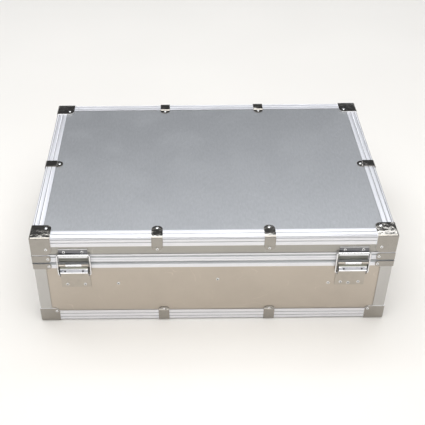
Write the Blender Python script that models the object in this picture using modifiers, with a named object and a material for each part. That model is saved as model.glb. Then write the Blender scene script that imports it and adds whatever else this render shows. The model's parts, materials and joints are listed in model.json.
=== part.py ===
"""Aluminium equipment case with a hinged lid, two draw latches and two drop handles.

Metres, +Z up, front towards -Y. The origin is on the floor under the middle of the case.
"""

import math

import bmesh
import bpy
from mathutils import Matrix, Vector

MM = 0.001

# Case, over its corner caps
WIDTH = 650 * MM
DEPTH = 455 * MM
HEIGHT = 205 * MM
PARTING_Z = 145 * MM  # top of the base rim
REVEAL = 1.0 * MM  # open line between base rim and lid rim

# Sheet and clearances
GAP = 0.3 * MM
CAP_SHEET = 1.0 * MM  # caps, clips and brackets
PANEL = 5.0 * MM  # laminated board
LINING = 3.0 * MM

# Aluminium edge profile
PROFILE_WALL = 1.3 * MM
PROFILE_CORNER = 2.5 * MM
TOP_LEG = 21.0 * MM  # leg that lies on the top or bottom panel
LID_LEG = 20.0 * MM  # leg that hangs down the lid's sides
BASE_LEG = 24.0 * MM  # leg that stands up the base's sides
GROOVE = 1.6 * MM
GROOVE_DEPTH = 0.7 * MM
CROWN = 0.25 * MM
TOP_GROOVES = (4.4 * MM, 12.5 * MM)
LID_GROOVES = (4.4 * MM, 11.4 * MM)
BASE_GROOVES = (8.0 * MM, 16.0 * MM)
POST_LEG = 22.0 * MM

# Closing rims, which meet at the parting line
BASE_RIM = 11.5 * MM
LID_RIM = 19.0 * MM
RIM_STEP = 3.6 * MM  # set back band under the base rim's top edge
RIM_LIP = 3.4 * MM  # ridge along the lid rim's top edge
RIM_RIBS = 4.5 * MM  # height of one rib
RIM_UNDERCUT = 2.4 * MM
RIM_INNER_WALL = 1.2 * MM
RIM_INNER_LEG = 8.0 * MM
RIM_WEB = 1.8 * MM
TONGUE = 1.6 * MM
TONGUE_HEIGHT = 2.6 * MM
TONGUE_PLAY = 0.8 * MM

# Corner caps, corner brackets and edge clips
CAP_ARM = 37.5 * MM
CAP_RIM_CLEARANCE = 1.0 * MM  # between a lid cap and the lid rim
BASE_CAP_RISE = 32.0 * MM
CAP_TAB_ROUND = 10.0 * MM
CAP_EDGE_ROUND = 1.9 * MM  # small enough to leave a wall outside the square inner corner
CORNERS = (
    ("front_left", -1, -1),
    ("front_right", 1, -1),
    ("back_left", -1, 1),
    ("back_right", 1, 1),
)
BRACKET_ARM = 34.0 * MM
BRACKET_ROUND = 4.5 * MM
LID_BRACKET = 15.0 * MM
BASE_BRACKET = 12.0 * MM
CLIP_WIDTH = 20.0 * MM
CLIP_BEND = 3.5 * MM
CLIP_REACH = 35.0 * MM  # on the top or bottom face
LID_CLIP_DROP = 32.0 * MM
BASE_CLIP_RISE = 33.0 * MM
LID_FRONT_CLIPS_X = (-99.5 * MM, 99.5 * MM)
LID_BACK_CLIPS_X = (-90.0 * MM, 112.0 * MM)
LID_SIDE_CLIPS_Y = (3.0 * MM, -5.0 * MM)  # left, right
BASE_FRONT_CLIPS_X = (-91.0 * MM, 107.5 * MM)

# Draw latches
LATCH_X = 250 * MM
LATCH_SHEET = 1.2 * MM
LATCH_HALF = 27.0 * MM
LATCH_PLATE_DROP = 46.5 * MM  # plate below the base rim
LATCH_PIVOT_OUT = 6.8 * MM  # pivot in front of the rim's face
LATCH_PIVOT_UP = 1.0 * MM  # pivot above the parting line
BARREL = 2.2 * MM
PIN = 1.05 * MM
LEVER_SHEET = 1.0 * MM
LEVER_HALF = 26.6 * MM
LEVER_BARREL_HALF = 14.2 * MM
LEVER_THROW = 24.0 * MM  # pivot down to the bail's pivot
LEVER_SETBACK = 2.3 * MM  # bail's pivot behind the lever's, past dead centre
LIP_DROP = 7.5 * MM
LIP_FLARE = 4.5 * MM
LIP_HOLE = 1.7 * MM
LIP_HOLE_X = 16.0 * MM
WIRE = 1.7 * MM
STRIKE_HALF = 26.0 * MM
STRIKE_RISE = 13.5 * MM  # plate above the lid rim
BEAD = 2.1 * MM
BEAD_DROP = 2.6 * MM  # bead's middle below the lid rim's top
BEAD_CLEARANCE = 0.4 * MM  # between the bead and the lid rim

# Lid hinges
HINGE_X = 195 * MM
HINGE_HALF = 32.0 * MM
HINGE_KNUCKLE_HALF = 12.0 * MM
HINGE_SHEET = 1.2 * MM
HINGE_BARREL = 2.6 * MM
HINGE_PIN = 1.3 * MM
HINGE_LEAF = 13.0 * MM  # leaf beyond the rim

# Drop handles on the short sides
HANDLE_Z = 98 * MM  # pivot
HANDLE_PLATE = (120 * MM, 62 * MM)  # along Y and Z
HANDLE_SHEET = 1.5 * MM
HANDLE_OUT = 9.5 * MM  # pivot in front of the side panel
HANDLE_ROD = 3.0 * MM
HANDLE_ARM_Y = 52.0 * MM
HANDLE_DROP = 42.0 * MM
HANDLE_EAR = 6.0 * MM
HANDLE_EAR_Y = (41.0 * MM, 47.0 * MM)
GRIP = 6.5 * MM
GRIP_HALF = 40.0 * MM

# Planes that the sizes above fix
SKIN = CAP_SHEET + GAP  # the profile lies this far inside the caps
STEP = PROFILE_WALL + GAP  # the panels lie this far inside the profile
SHELL_X = WIDTH / 2 - SKIN
SHELL_Y = DEPTH / 2 - SKIN
SHELL_TOP = HEIGHT - SKIN
FACE_X = SHELL_X - STEP
FACE_Y = SHELL_Y - STEP
FACE_TOP = SHELL_TOP - STEP
FACE_LOW = SKIN + STEP
LID_RIM_LOW = PARTING_Z + REVEAL
LID_RIM_TOP = LID_RIM_LOW + LID_RIM
BASE_RIM_LOW = PARTING_Z - BASE_RIM
LID_WEB = TONGUE_HEIGHT + TONGUE_PLAY + RIM_WEB - REVEAL

ALUMINIUM = ((0.62, 0.63, 0.66), 0.34, 1.0)
BOARD = ((0.33, 0.35, 0.38), 0.42, 0.8)
STEEL = ((0.55, 0.55, 0.55), 0.15, 1.0)
FOAM = ((0.03, 0.03, 0.035), 0.9, 0.0)


def collection(name):
    made = bpy.data.collections.new(name)
    bpy.context.scene.collection.children.link(made)
    return made


for old in list(bpy.data.objects):
    bpy.data.objects.remove(old, do_unlink=True)
CASE = collection("equipment_case")
TOOLS = collection("cutters")


# Helpers


def finish_of(name, look):
    """Own material of one piece: colour, roughness and metallic value."""
    colour, roughness, metallic = look
    material = bpy.data.materials.new(name)
    material.use_nodes = True
    shader = material.node_tree.nodes["Principled BSDF"]
    shader.inputs["Base Color"].default_value = (*colour, 1.0)
    shader.inputs["Roughness"].default_value = roughness
    shader.inputs["Metallic"].default_value = metallic
    return material


def object_of(name, bm, look):
    """A bmesh as a named piece of the case, or as a hidden tool where it has no look."""
    bmesh.ops.recalc_face_normals(bm, faces=bm.faces)
    mesh = bpy.data.meshes.new(name)
    bm.to_mesh(mesh)
    bm.free()
    mesh.shade_smooth()
    mesh.set_sharp_from_angle(angle=math.radians(30))
    made = bpy.data.objects.new(name, mesh)
    if look is None:
        TOOLS.objects.link(made)
        made.hide_render = True
        made.display_type = "WIRE"
    else:
        CASE.objects.link(made)
        mesh.materials.append(finish_of(name, look))
    return made


def combine(target, tool, operation):
    """Join a tool to a piece (UNION) or cut the piece with it (DIFFERENCE)."""
    modifier = target.modifiers.new(tool.name, "BOOLEAN")
    modifier.operation = operation
    modifier.solver = "EXACT"
    modifier.object = tool
    return target


def box_mesh(low, high):
    bm = bmesh.new()
    bmesh.ops.create_cube(bm, size=1.0)
    size = Vector(high) - Vector(low)
    middle = (Vector(high) + Vector(low)) / 2
    bmesh.ops.scale(bm, vec=size, verts=bm.verts)
    bmesh.ops.translate(bm, vec=middle, verts=bm.verts)
    return bm


def box(name, low, high, look=None):
    return object_of(name, box_mesh(low, high), look)


def rod(name, start, end, radius, look=None, sides=16):
    """Solid cylinder between two points."""
    start, end = Vector(start), Vector(end)
    bm = bmesh.new()
    bmesh.ops.create_cone(
        bm, cap_ends=True, segments=sides, radius1=radius, radius2=radius, depth=(end - start).length
    )
    turn = (end - start).to_track_quat("Z", "Y").to_matrix()
    bmesh.ops.rotate(bm, matrix=turn, verts=bm.verts)
    bmesh.ops.translate(bm, vec=(start + end) / 2, verts=bm.verts)
    return object_of(name, bm, look)


def prism_mesh(outline, low, high, place):
    """Flat outline carried from low to high. place(a, b, along) gives a point in space."""
    bm = bmesh.new()
    face = bm.faces.new([bm.verts.new(place(a, b, low)) for a, b in outline])
    moved = bmesh.ops.extrude_face_region(bm, geom=[face])
    top = [v for v in moved["geom"] if isinstance(v, bmesh.types.BMVert)]
    shift = Vector(place(*outline[0], high)) - Vector(place(*outline[0], low))
    bmesh.ops.translate(bm, vec=shift, verts=top)
    return bm


def round_edges(bm, chosen, radius, segments):
    edges = [edge for edge in bm.edges if chosen(edge)]
    bmesh.ops.bevel(
        bm, geom=edges, offset=radius, offset_type="OFFSET", segments=segments, profile=0.5, affect="EDGES"
    )


def arc(centre, radius, start, end, steps):
    """Points of an arc, angles in degrees."""
    points = []
    for i in range(steps + 1):
        angle = math.radians(start + (end - start) * i / steps)
        points.append((centre[0] + radius * math.cos(angle), centre[1] + radius * math.sin(angle)))
    return points


def along_x(middle_y, facing):
    """Placement of a section (out from a wall face, height) that is carried along X."""
    return lambda out, z, x: (x, middle_y + facing * out, z)


def at_corner(side_x, side_y, half_x, half_y, zero=0.0, up=1):
    """Placement of a point (in along X, in along Y, height) counted from one corner."""
    return lambda a, b, c: Vector((side_x * (half_x - a), side_y * (half_y - b), zero + up * c))


def box_between(place, low, high):
    """Mesh of a box whose two opposite corners are given in a placement's own terms."""
    ends = (place(*low), place(*high))
    return box_mesh([min(p) for p in zip(*ends)], [max(p) for p in zip(*ends)])


def hang(pieces, name, pivot, parent=None):
    """Put an empty on a joint's axis and parent the pieces that turn with it."""
    axis = bpy.data.objects.new(name, None)
    axis.empty_display_size = 20 * MM
    CASE.objects.link(axis)
    axis.location = pivot
    if parent is not None:
        axis.parent = parent
        axis.location = Vector(pivot) - parent.location
    for piece in pieces:
        piece.parent = axis
        piece.matrix_parent_inverse = Matrix.Translation(-Vector(pivot))
    return axis


# Aluminium profiles


def ribbed(length, grooves, start):
    """Outer face of a ribbed leg as (along, depth): crowned ribs with channels between them."""
    points = []
    edges = [start] + [g + side * GROOVE / 2 for g in grooves for side in (-1, 1)] + [length]
    for a, b in zip(edges[0::2], edges[1::2]):
        for i in range(5):
            share = i / 4
            points.append((a + (b - a) * share, CROWN * (2 * share - 1) ** 2))
        if b < length:
            points.append((b + GROOVE / 4, GROOVE_DEPTH))
            points.append((b + GROOVE * 3 / 4, GROOVE_DEPTH))
    return points


def edge_section(side_leg, side_grooves):
    """L section as (in from the side, in from the top or bottom)."""
    side = [(depth, along) for along, depth in ribbed(side_leg, side_grooves, PROFILE_CORNER)]
    flat = ribbed(TOP_LEG, TOP_GROOVES, PROFILE_CORNER)
    corner = arc((PROFILE_CORNER, PROFILE_CORNER), PROFILE_CORNER - CROWN, 180, 270, 4)
    inner = [(TOP_LEG, PROFILE_WALL), (PROFILE_WALL, PROFILE_WALL), (PROFILE_WALL, side_leg)]
    return side[::-1] + corner[1:-1] + flat + inner


def mitred_ring(name, section, look):
    """Frame of four mitred bars from a section of (in from the outer face, height)."""
    bm = bmesh.new()
    loops = []
    for side_x, side_y in ((-1, -1), (1, -1), (1, 1), (-1, 1)):
        loop = [bm.verts.new((side_x * (SHELL_X - d), side_y * (SHELL_Y - d), z)) for d, z in section]
        loops.append(loop)
    count = len(section)
    for here, there in zip(loops, loops[1:] + loops[:1]):
        for i in range(count):
            j = (i + 1) % count
            bm.faces.new((here[i], there[i], there[j], here[j]))
    return object_of(name, bm, look)


def edge_frames():
    """Frames along the bottom and top edges. Like the functions below, it gives back what is on the lid."""
    base = [(d, SKIN + w) for d, w in edge_section(BASE_LEG, BASE_GROOVES)]
    mitred_ring("base_edge_frame", base, ALUMINIUM)
    lid = [(d, SHELL_TOP - w) for d, w in edge_section(LID_LEG, LID_GROOVES)]
    return [mitred_ring("lid_edge_frame", lid, ALUMINIUM)]


def crowned(low, high, steps=4):
    """Rib of a rim as (depth, height) from low to high."""
    points = []
    for i in range(steps + 1):
        share = i / steps
        points.append((CROWN * (2 * share - 1) ** 2, low + (high - low) * share))
    return points


def base_rim():
    """Channel over the base walls' top edges, with the sealing tongue."""
    board_in = STEP + PANEL + GAP
    inner = board_in + RIM_INNER_WALL
    tongue = STEP + (PANEL - TONGUE) / 2
    step_low = PARTING_Z - RIM_STEP
    section = crowned(BASE_RIM_LOW, step_low)
    section += [(GROOVE_DEPTH, step_low + CROWN), (GROOVE_DEPTH, PARTING_Z)]
    section += [(tongue, PARTING_Z), (tongue, PARTING_Z + TONGUE_HEIGHT)]
    section += [(tongue + TONGUE, PARTING_Z + TONGUE_HEIGHT), (tongue + TONGUE, PARTING_Z)]
    section += [(inner, PARTING_Z), (inner, PARTING_Z - RIM_INNER_LEG)]
    section += [(board_in, PARTING_Z - RIM_INNER_LEG), (board_in, PARTING_Z - RIM_WEB)]
    section += [(PROFILE_WALL, PARTING_Z - RIM_WEB), (PROFILE_WALL, BASE_RIM_LOW)]
    mitred_ring("base_rim", section, ALUMINIUM)


def lid_rim():
    """Channel under the lid walls' bottom edges, with the groove that takes the tongue."""
    board_in = STEP + PANEL + GAP
    inner = board_in + RIM_INNER_WALL
    groove = STEP + (PANEL - TONGUE) / 2 - TONGUE_PLAY
    groove_end = groove + TONGUE + 2 * TONGUE_PLAY
    groove_top = PARTING_Z + TONGUE_HEIGHT + TONGUE_PLAY
    web = LID_RIM_LOW + LID_WEB
    rib = LID_RIM_LOW + RIM_UNDERCUT
    lip = LID_RIM_TOP - RIM_LIP
    section = [(GROOVE_DEPTH + CROWN, LID_RIM_LOW), (GROOVE_DEPTH + CROWN, rib - CROWN)]
    section += crowned(rib, rib + RIM_RIBS)
    section += [(GROOVE_DEPTH, rib + RIM_RIBS + GROOVE / 4)]
    section += crowned(rib + RIM_RIBS + GROOVE / 2, rib + 2 * RIM_RIBS)
    section += [(GROOVE_DEPTH, rib + 2 * RIM_RIBS + CROWN), (GROOVE_DEPTH, lip - CROWN)]
    section += crowned(lip, LID_RIM_TOP)
    section += [(PROFILE_WALL, LID_RIM_TOP), (PROFILE_WALL, web), (board_in, web)]
    section += [(board_in, web + RIM_INNER_LEG), (inner, web + RIM_INNER_LEG), (inner, LID_RIM_LOW)]
    section += [(groove_end, LID_RIM_LOW), (groove_end, groove_top), (groove, groove_top), (groove, LID_RIM_LOW)]
    return [mitred_ring("lid_rim", section, ALUMINIUM)]


def corner_posts():
    """Upright L profiles of the base, between its edge frame and its rim."""
    low = SKIN + BASE_LEG + GAP
    high = BASE_RIM_LOW - GAP
    outline = [(POST_LEG, 0), (POST_LEG, PROFILE_WALL), (PROFILE_WALL, PROFILE_WALL), (PROFILE_WALL, POST_LEG)]
    outline += [(0, POST_LEG)] + arc((PROFILE_CORNER, PROFILE_CORNER), PROFILE_CORNER, 180, 270, 4)
    for name, side_x, side_y in CORNERS:
        bm = prism_mesh(outline, low, high, at_corner(side_x, side_y, SHELL_X, SHELL_Y))
        object_of(f"base_post_{name}", bm, ALUMINIUM)


# Panels and lining


def wall_set(part, low, high):
    """Front, back, left and right boards. The short ones stand between the long ones."""
    inner_y = FACE_Y - PANEL
    short_y = inner_y - GAP
    walls = []
    for name, side in (("front", -1), ("back", 1)):
        near, far = sorted((side * inner_y, side * FACE_Y))
        walls.append(box(f"{part}_{name}_panel", (-FACE_X, near, low), (FACE_X, far, high), BOARD))
    for name, side in (("left", -1), ("right", 1)):
        near, far = sorted((side * (FACE_X - PANEL), side * FACE_X))
        walls.append(box(f"{part}_{name}_panel", (near, -short_y, low), (far, short_y, high), BOARD))
    return walls


def boards():
    """The ten laminated boards of the shell."""
    bottom_top = FACE_LOW + PANEL
    top_low = FACE_TOP - PANEL
    wall_set("base", bottom_top + GAP, PARTING_Z - RIM_WEB - GAP)
    box("base_bottom_panel", (-FACE_X, -FACE_Y, FACE_LOW), (FACE_X, FACE_Y, bottom_top), BOARD)
    lid = wall_set("lid", LID_RIM_LOW + LID_WEB + GAP, top_low - GAP)
    lid.append(box("lid_top_panel", (-FACE_X, -FACE_Y, top_low), (FACE_X, FACE_Y, FACE_TOP), BOARD))
    return lid


def lining(name, closed_z, open_z):
    """Foam tray against the walls and the closed end of one half of the case."""
    half_x = FACE_X - PANEL - GAP
    half_y = FACE_Y - PANEL - GAP
    bm = box_mesh((-half_x, -half_y, min(closed_z, open_z)), (half_x, half_y, max(closed_z, open_z)))
    mouth = [f for f in bm.faces if abs(f.calc_center_median().z - open_z) < GAP / 10]
    bmesh.ops.delete(bm, geom=mouth, context="FACES_ONLY")
    tray = object_of(name, bm, FOAM)
    wall = tray.modifiers.new("foam", "SOLIDIFY")
    wall.thickness = LINING
    wall.offset = -1.0
    wall.use_even_offset = True
    return tray


def linings():
    lining("base_lining", FACE_LOW + PANEL + GAP, PARTING_Z - RIM_INNER_LEG - GAP)
    return [lining("lid_lining", FACE_TOP - PANEL - GAP, LID_RIM_LOW + LID_WEB + RIM_INNER_LEG + GAP)]


# Steel corners and clips


def corner_cap(name, side_x, side_y, top):
    """Pressed three-way corner with a round tab on each face."""
    drop = HEIGHT - LID_RIM_TOP - CAP_RIM_CLEARANCE if top else BASE_CAP_RISE
    leg = LID_LEG if top else BASE_LEG
    zero, up = (HEIGHT, -1) if top else (0.0, 1)
    place = at_corner(side_x, side_y, WIDTH / 2, DEPTH / 2, zero, up)

    def meets(point):
        return lambda edge: any((v.co - point).length < GAP for v in edge.verts)

    bm = box_between(place, (0, 0, 0), (CAP_ARM, CAP_ARM, drop))
    round_edges(bm, meets(place(CAP_ARM, CAP_ARM, drop)), CAP_TAB_ROUND, 5)
    round_edges(bm, meets(place(0, 0, 0)), CAP_EDGE_ROUND, 3)
    cap = object_of(name, bm, STEEL)

    deep = CAP_SHEET + STEP
    beyond = CAP_ARM * 2
    side_start = 0.0 if top else SKIN + POST_LEG + GAP
    flat_start = SKIN + TOP_LEG + GAP
    wall_start = SKIN + leg + GAP
    hollow = box_between(place, (CAP_SHEET,) * 3, (beyond,) * 3)
    inside = object_of(f"{name}_inside", hollow, None)
    seats = (
        ((flat_start, flat_start, 0), (beyond * 2, beyond * 2, deep)),
        ((side_start, 0, wall_start), (beyond * 2, deep, beyond * 2)),
        ((0, side_start, wall_start), (deep, beyond * 2, beyond * 2)),
    )
    for i, (low, high) in enumerate(seats):
        seat = object_of(f"{name}_seat_{i}", box_between(place, low, high), None)
        combine(inside, seat, "DIFFERENCE")
    return combine(cap, inside, "DIFFERENCE")


def corner_bracket(name, side_x, side_y, low, height):
    """L plate round one corner of a rim, with rounded ends."""
    sheet, reach, bend = CAP_SHEET, BRACKET_ARM, CAP_EDGE_ROUND
    outline = [(reach, 0), (reach, sheet), (sheet, sheet), (sheet, reach), (0, reach)]
    outline += arc((bend, bend), bend, 180, 270, 4)
    bm = prism_mesh(outline, low, low + height, at_corner(side_x, side_y, WIDTH / 2, DEPTH / 2))
    end_x = WIDTH / 2 - reach
    end_y = DEPTH / 2 - reach

    def at_end(edge):
        a, b = (v.co for v in edge.verts)
        short = (a - b).length < sheet * 1.5 and abs(a.z - b.z) < GAP
        on_x = all(abs(abs(p.x) - end_x) < GAP / 3 for p in (a, b))
        on_y = all(abs(abs(p.y) - end_y) < GAP / 3 for p in (a, b))
        return short and (on_x or on_y)

    round_edges(bm, at_end, BRACKET_ROUND, 4)
    return object_of(name, bm, STEEL)


def edge_clip(name, top, drop, leg, middle, facing):
    """Clip bent over an edge profile, with a round end riveted to each panel.

    facing is the outward direction of the wall, and middle is the clip's place along that wall.
    """
    sheet, bend = CAP_SHEET, CLIP_BEND
    flat = SKIN + TOP_LEG + GAP
    side = SKIN + leg + GAP
    slope = sheet * math.tan(math.radians(22.5))
    outer = [(STEP, drop), (STEP, side + STEP + slope), (0, side + slope)]
    outer += arc((bend, bend), bend, 180, 270, 4)
    outer += [(flat + slope, 0), (flat + STEP + slope, STEP), (CLIP_REACH, STEP)]
    inner = [(CLIP_REACH, STEP + sheet), (flat + STEP, STEP + sheet), (flat, sheet)]
    inner += arc((bend, bend), bend - sheet, 270, 180, 4)
    inner += [(sheet, side), (STEP + sheet, side + STEP), (STEP + sheet, drop)]
    fx, fy = facing
    plane = HEIGHT if top else 0.0
    up = -1 if top else 1

    def place(a, b, t):
        out = (WIDTH / 2 if fx else DEPTH / 2) - a
        return (fx * out + abs(fy) * t, fy * out + abs(fx) * t, plane + up * b)

    low, high = middle - CLIP_WIDTH / 2, middle + CLIP_WIDTH / 2
    bm = prism_mesh(outer + inner, low, high, place)
    ends = (
        (place(STEP, drop, low), place(STEP + sheet, drop, low)),
        (place(STEP, drop, high), place(STEP + sheet, drop, high)),
        (place(CLIP_REACH, STEP, low), place(CLIP_REACH, STEP + sheet, low)),
        (place(CLIP_REACH, STEP, high), place(CLIP_REACH, STEP + sheet, high)),
    )

    def at_end(edge):
        found = [v.co for v in edge.verts]
        for pair in ends:
            if all(min((p - Vector(q)).length for q in pair) < GAP / 3 for p in found):
                return True
        return False

    round_edges(bm, at_end, CLIP_WIDTH / 2 - GAP, 6)
    return object_of(name, bm, STEEL)


def hardware():
    """Caps, brackets and clips of both halves."""
    lid = []
    for name, side_x, side_y in CORNERS:
        lid.append(corner_cap(f"lid_cap_{name}", side_x, side_y, True))
        corner_cap(f"base_cap_{name}", side_x, side_y, False)
        lid_low = LID_RIM_LOW + RIM_UNDERCUT
        base_low = PARTING_Z - GAP - BASE_BRACKET
        lid.append(corner_bracket(f"lid_bracket_{name}", side_x, side_y, lid_low, LID_BRACKET))
        corner_bracket(f"base_bracket_{name}", side_x, side_y, base_low, BASE_BRACKET)
    left_y, right_y = LID_SIDE_CLIPS_Y
    places = [("front", x, (0, -1)) for x in LID_FRONT_CLIPS_X]
    places += [("back", x, (0, 1)) for x in LID_BACK_CLIPS_X]
    for (side, x, facing), end in zip(places, ("left", "right") * 2):
        lid.append(edge_clip(f"lid_clip_{side}_{end}", True, LID_CLIP_DROP, LID_LEG, x, facing))
    lid.append(edge_clip("lid_clip_left", True, LID_CLIP_DROP, LID_LEG, left_y, (-1, 0)))
    lid.append(edge_clip("lid_clip_right", True, LID_CLIP_DROP, LID_LEG, right_y, (1, 0)))
    for x, end in zip(BASE_FRONT_CLIPS_X, ("left", "right")):
        edge_clip(f"base_clip_front_{end}", False, BASE_CLIP_RISE, BASE_LEG, x, (0, -1))
    return lid


# Draw latches. A section point is (out from the front panel's face, height).


def latch_points():
    """Lever pivot, bail pivot, strike bead and bail wire, all as (out, height)."""
    pivot = (STEP + LATCH_PIVOT_OUT, PARTING_Z + LATCH_PIVOT_UP)
    bail = (pivot[0] - LEVER_SETBACK, pivot[1] - LEVER_THROW)
    bead = (STEP + BEAD_CLEARANCE + BEAD, LID_RIM_TOP - BEAD_DROP)
    wire = (bead[0] + WIRE / 3, bead[1] + BEAD + WIRE + GAP)
    return pivot, bail, bead, wire


def strike(name, x, place):
    """Plate on the lid's front panel, rolled into a bead below."""
    bead = latch_points()[2]
    sheet = LATCH_SHEET
    top = LID_RIM_TOP + STRIKE_RISE
    shelf = LID_RIM_TOP + GAP
    outline = [(GAP, top), (GAP, shelf), (STEP + GAP, shelf)]
    outline += arc(bead, BEAD, 150, 480, 11)
    outline += [(STEP + sheet * 0.6, shelf + sheet * 0.1), (GAP + sheet, shelf + sheet)]
    outline += [(GAP + sheet, top - sheet * 1.4), (GAP + sheet * 1.6, top - sheet * 0.8), (GAP + sheet * 1.6, top)]
    bm = prism_mesh(outline, x - STRIKE_HALF, x + STRIKE_HALF, place)
    return object_of(name, bm, STEEL)


def latch_plate(name, x, place):
    """Plate on the base's front panel, with two knuckles and the lever's pin."""
    pivot = latch_points()[0]
    sheet = LATCH_SHEET
    low = BASE_RIM_LOW - LATCH_PLATE_DROP
    bend = BASE_RIM_LOW - STEP - GAP
    high = PARTING_Z - sheet * 2
    near = STEP + GAP
    outline = [(GAP, low), (GAP, bend), (near, bend + STEP), (near, high)]
    outline += [(near + sheet, high), (near + sheet, bend + STEP - sheet * 0.4)]
    outline += [(GAP + sheet, bend - sheet * 0.4), (GAP + sheet, low)]
    bm = prism_mesh(outline, x - LATCH_HALF, x + LATCH_HALF, place)
    plate = object_of(name, bm, STEEL)
    root = near + sheet / 2
    for side in (-1, 1):
        ends = sorted((x + side * (LEVER_BARREL_HALF + GAP), x + side * (LATCH_HALF - GAP)))
        knuckle = [(root, high - sheet * 3), (root + sheet * 1.2, high - sheet * 3)]
        knuckle += arc(pivot, BARREL, 265, 520, 10)
        knuckle += [(root, high - sheet * 0.3)]
        bm = prism_mesh(knuckle, ends[0], ends[1], place)
        combine(plate, object_of(f"{name}_knuckle_{side}", bm, None), "UNION")
    reach = LATCH_HALF - GAP * 2
    pin = rod(f"{name}_pin", place(*pivot, x - reach), place(*pivot, x + reach), PIN, sides=12)
    return combine(plate, pin, "UNION")


def lever(name, x, place):
    """Sheet lever: barrel on the pin, flared finger lip, and an ear for each end of the bail."""
    pivot, bail, _, _ = latch_points()
    sheet = LEVER_SHEET
    front = pivot[0] + sheet / 2
    top = pivot[1] - BARREL - sheet
    fold = top - BARREL * 2
    tip = (front + LIP_FLARE, fold - LIP_DROP)
    outline = [(front - sheet, top), (front - sheet, fold - sheet * 0.2), (tip[0] - sheet, tip[1])]
    outline += [(tip[0] - sheet * 0.6, tip[1] - sheet * 0.6), (tip[0], tip[1] - sheet * 0.3)]
    outline += [(tip[0] + sheet * 0.1, tip[1] + sheet * 0.4), (front, fold), (front, top)]
    bm = prism_mesh(outline, x - LEVER_HALF, x + LEVER_HALF, place)
    piece = object_of(name, bm, STEEL)

    neck = [(front - sheet * 0.8, top - sheet), (front - sheet * 0.2, top - sheet)]
    neck += arc(pivot, BARREL, 290, 610, 14)
    bm = prism_mesh(neck, x - LEVER_BARREL_HALF, x + LEVER_BARREL_HALF, place)
    combine(piece, object_of(f"{name}_barrel", bm, None), "UNION")

    round_ear = WIRE + GAP + LEVER_SHEET * 1.5
    for side in (-1, 1):
        ends = sorted((x + side * (LEVER_HALF - sheet), x + side * (LEVER_HALF - GAP / 3)))
        ear = [(front - sheet * 0.4, fold + BARREL / 2), (front - sheet * 2.5, fold + BARREL / 2)]
        ear += arc(bail, round_ear, 170, 360, 10)
        ear += [(front - sheet * 0.4, fold - LIP_DROP / 2)]
        bm = prism_mesh(ear, ends[0], ends[1], place)
        combine(piece, object_of(f"{name}_ear_{side}", bm, None), "UNION")

    middle = ((front + tip[0]) / 2, (fold + tip[1]) / 2)
    run = Vector((-LIP_DROP, -LIP_FLARE)).normalized() * LEVER_SHEET * 4
    for side in (-1, 1):
        hole_x = x + side * LIP_HOLE_X
        start = place(middle[0] - run.x, middle[1] - run.y, hole_x)
        end = place(middle[0] + run.x, middle[1] + run.y, hole_x)
        combine(piece, rod(f"{name}_hole_{side}", start, end, LIP_HOLE, sides=10), "DIFFERENCE")
    wide = LATCH_HALF * 2
    bore = rod(f"{name}_bore", place(*pivot, x - wide), place(*pivot, x + wide), PIN + GAP, sides=12)
    combine(piece, bore, "DIFFERENCE")
    eyes = rod(f"{name}_eyes", place(*bail, x - wide), place(*bail, x + wide), WIRE + GAP)
    return combine(piece, eyes, "DIFFERENCE")


def wire_loop(name, corners, radius, bends, look):
    """Round wire through corner points, with an arc of its own radius at each inner corner."""
    points = [Vector(corners[0])]
    for before, corner, after, bend in zip(corners, corners[1:], corners[2:], bends):
        before, corner, after = Vector(before), Vector(corner), Vector(after)
        start = corner + (before - corner).normalized() * bend
        end = corner + (after - corner).normalized() * bend
        centre = start + end - corner
        for i in range(5):
            angle = math.radians(90 * i / 4)
            points.append(centre + (start - centre) * math.cos(angle) + (end - centre) * math.sin(angle))
    points.append(Vector(corners[-1]))
    curve = bpy.data.curves.new(name, "CURVE")
    curve.dimensions = "3D"
    curve.bevel_depth = radius
    curve.bevel_resolution = 2
    curve.use_fill_caps = True
    spline = curve.splines.new("POLY")
    spline.points.add(len(points) - 1)
    for target, point in zip(spline.points, points):
        target.co = (*point, 1.0)
    made = bpy.data.objects.new(name, curve)
    CASE.objects.link(made)
    curve.materials.append(finish_of(name, look))
    return made


def bail_of(name, x, place):
    """Wire loop from the lever's ears up and over the strike bead."""
    _, foot, _, wire = latch_points()
    arm = LEVER_HALF + WIRE + GAP * 3
    stub = LEVER_HALF - LEVER_SHEET - GAP * 2
    corners = [place(*foot, x - stub), place(*foot, x - arm), place(*wire, x - arm)]
    corners += [place(*wire, x + arm), place(*foot, x + arm), place(*foot, x + stub)]
    tight = WIRE + GAP * 2
    return wire_loop(name, corners, WIRE, (tight, WIRE * 2, WIRE * 2, tight), STEEL)


def latches():
    """Both draw latches, with the empties that their levers and bails turn about."""
    lid = []
    place = along_x(-FACE_Y, -1)
    pivot, foot, _, _ = latch_points()
    for side, x in (("left", -LATCH_X), ("right", LATCH_X)):
        lid.append(strike(f"{side}_strike", x, place))
        latch_plate(f"{side}_latch_plate", x, place)
        lever_axis = hang([lever(f"{side}_lever", x, place)], f"{side}_lever_axis", place(*pivot, x))
        hang([bail_of(f"{side}_bail", x, place)], f"{side}_bail_axis", place(*foot, x), lever_axis)
    return lid


# Lid hinges


def hinge_axis():
    """Axis as (out from the back panel's face, height)."""
    return STEP + GAP + HINGE_BARREL, PARTING_Z + REVEAL / 2


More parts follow.
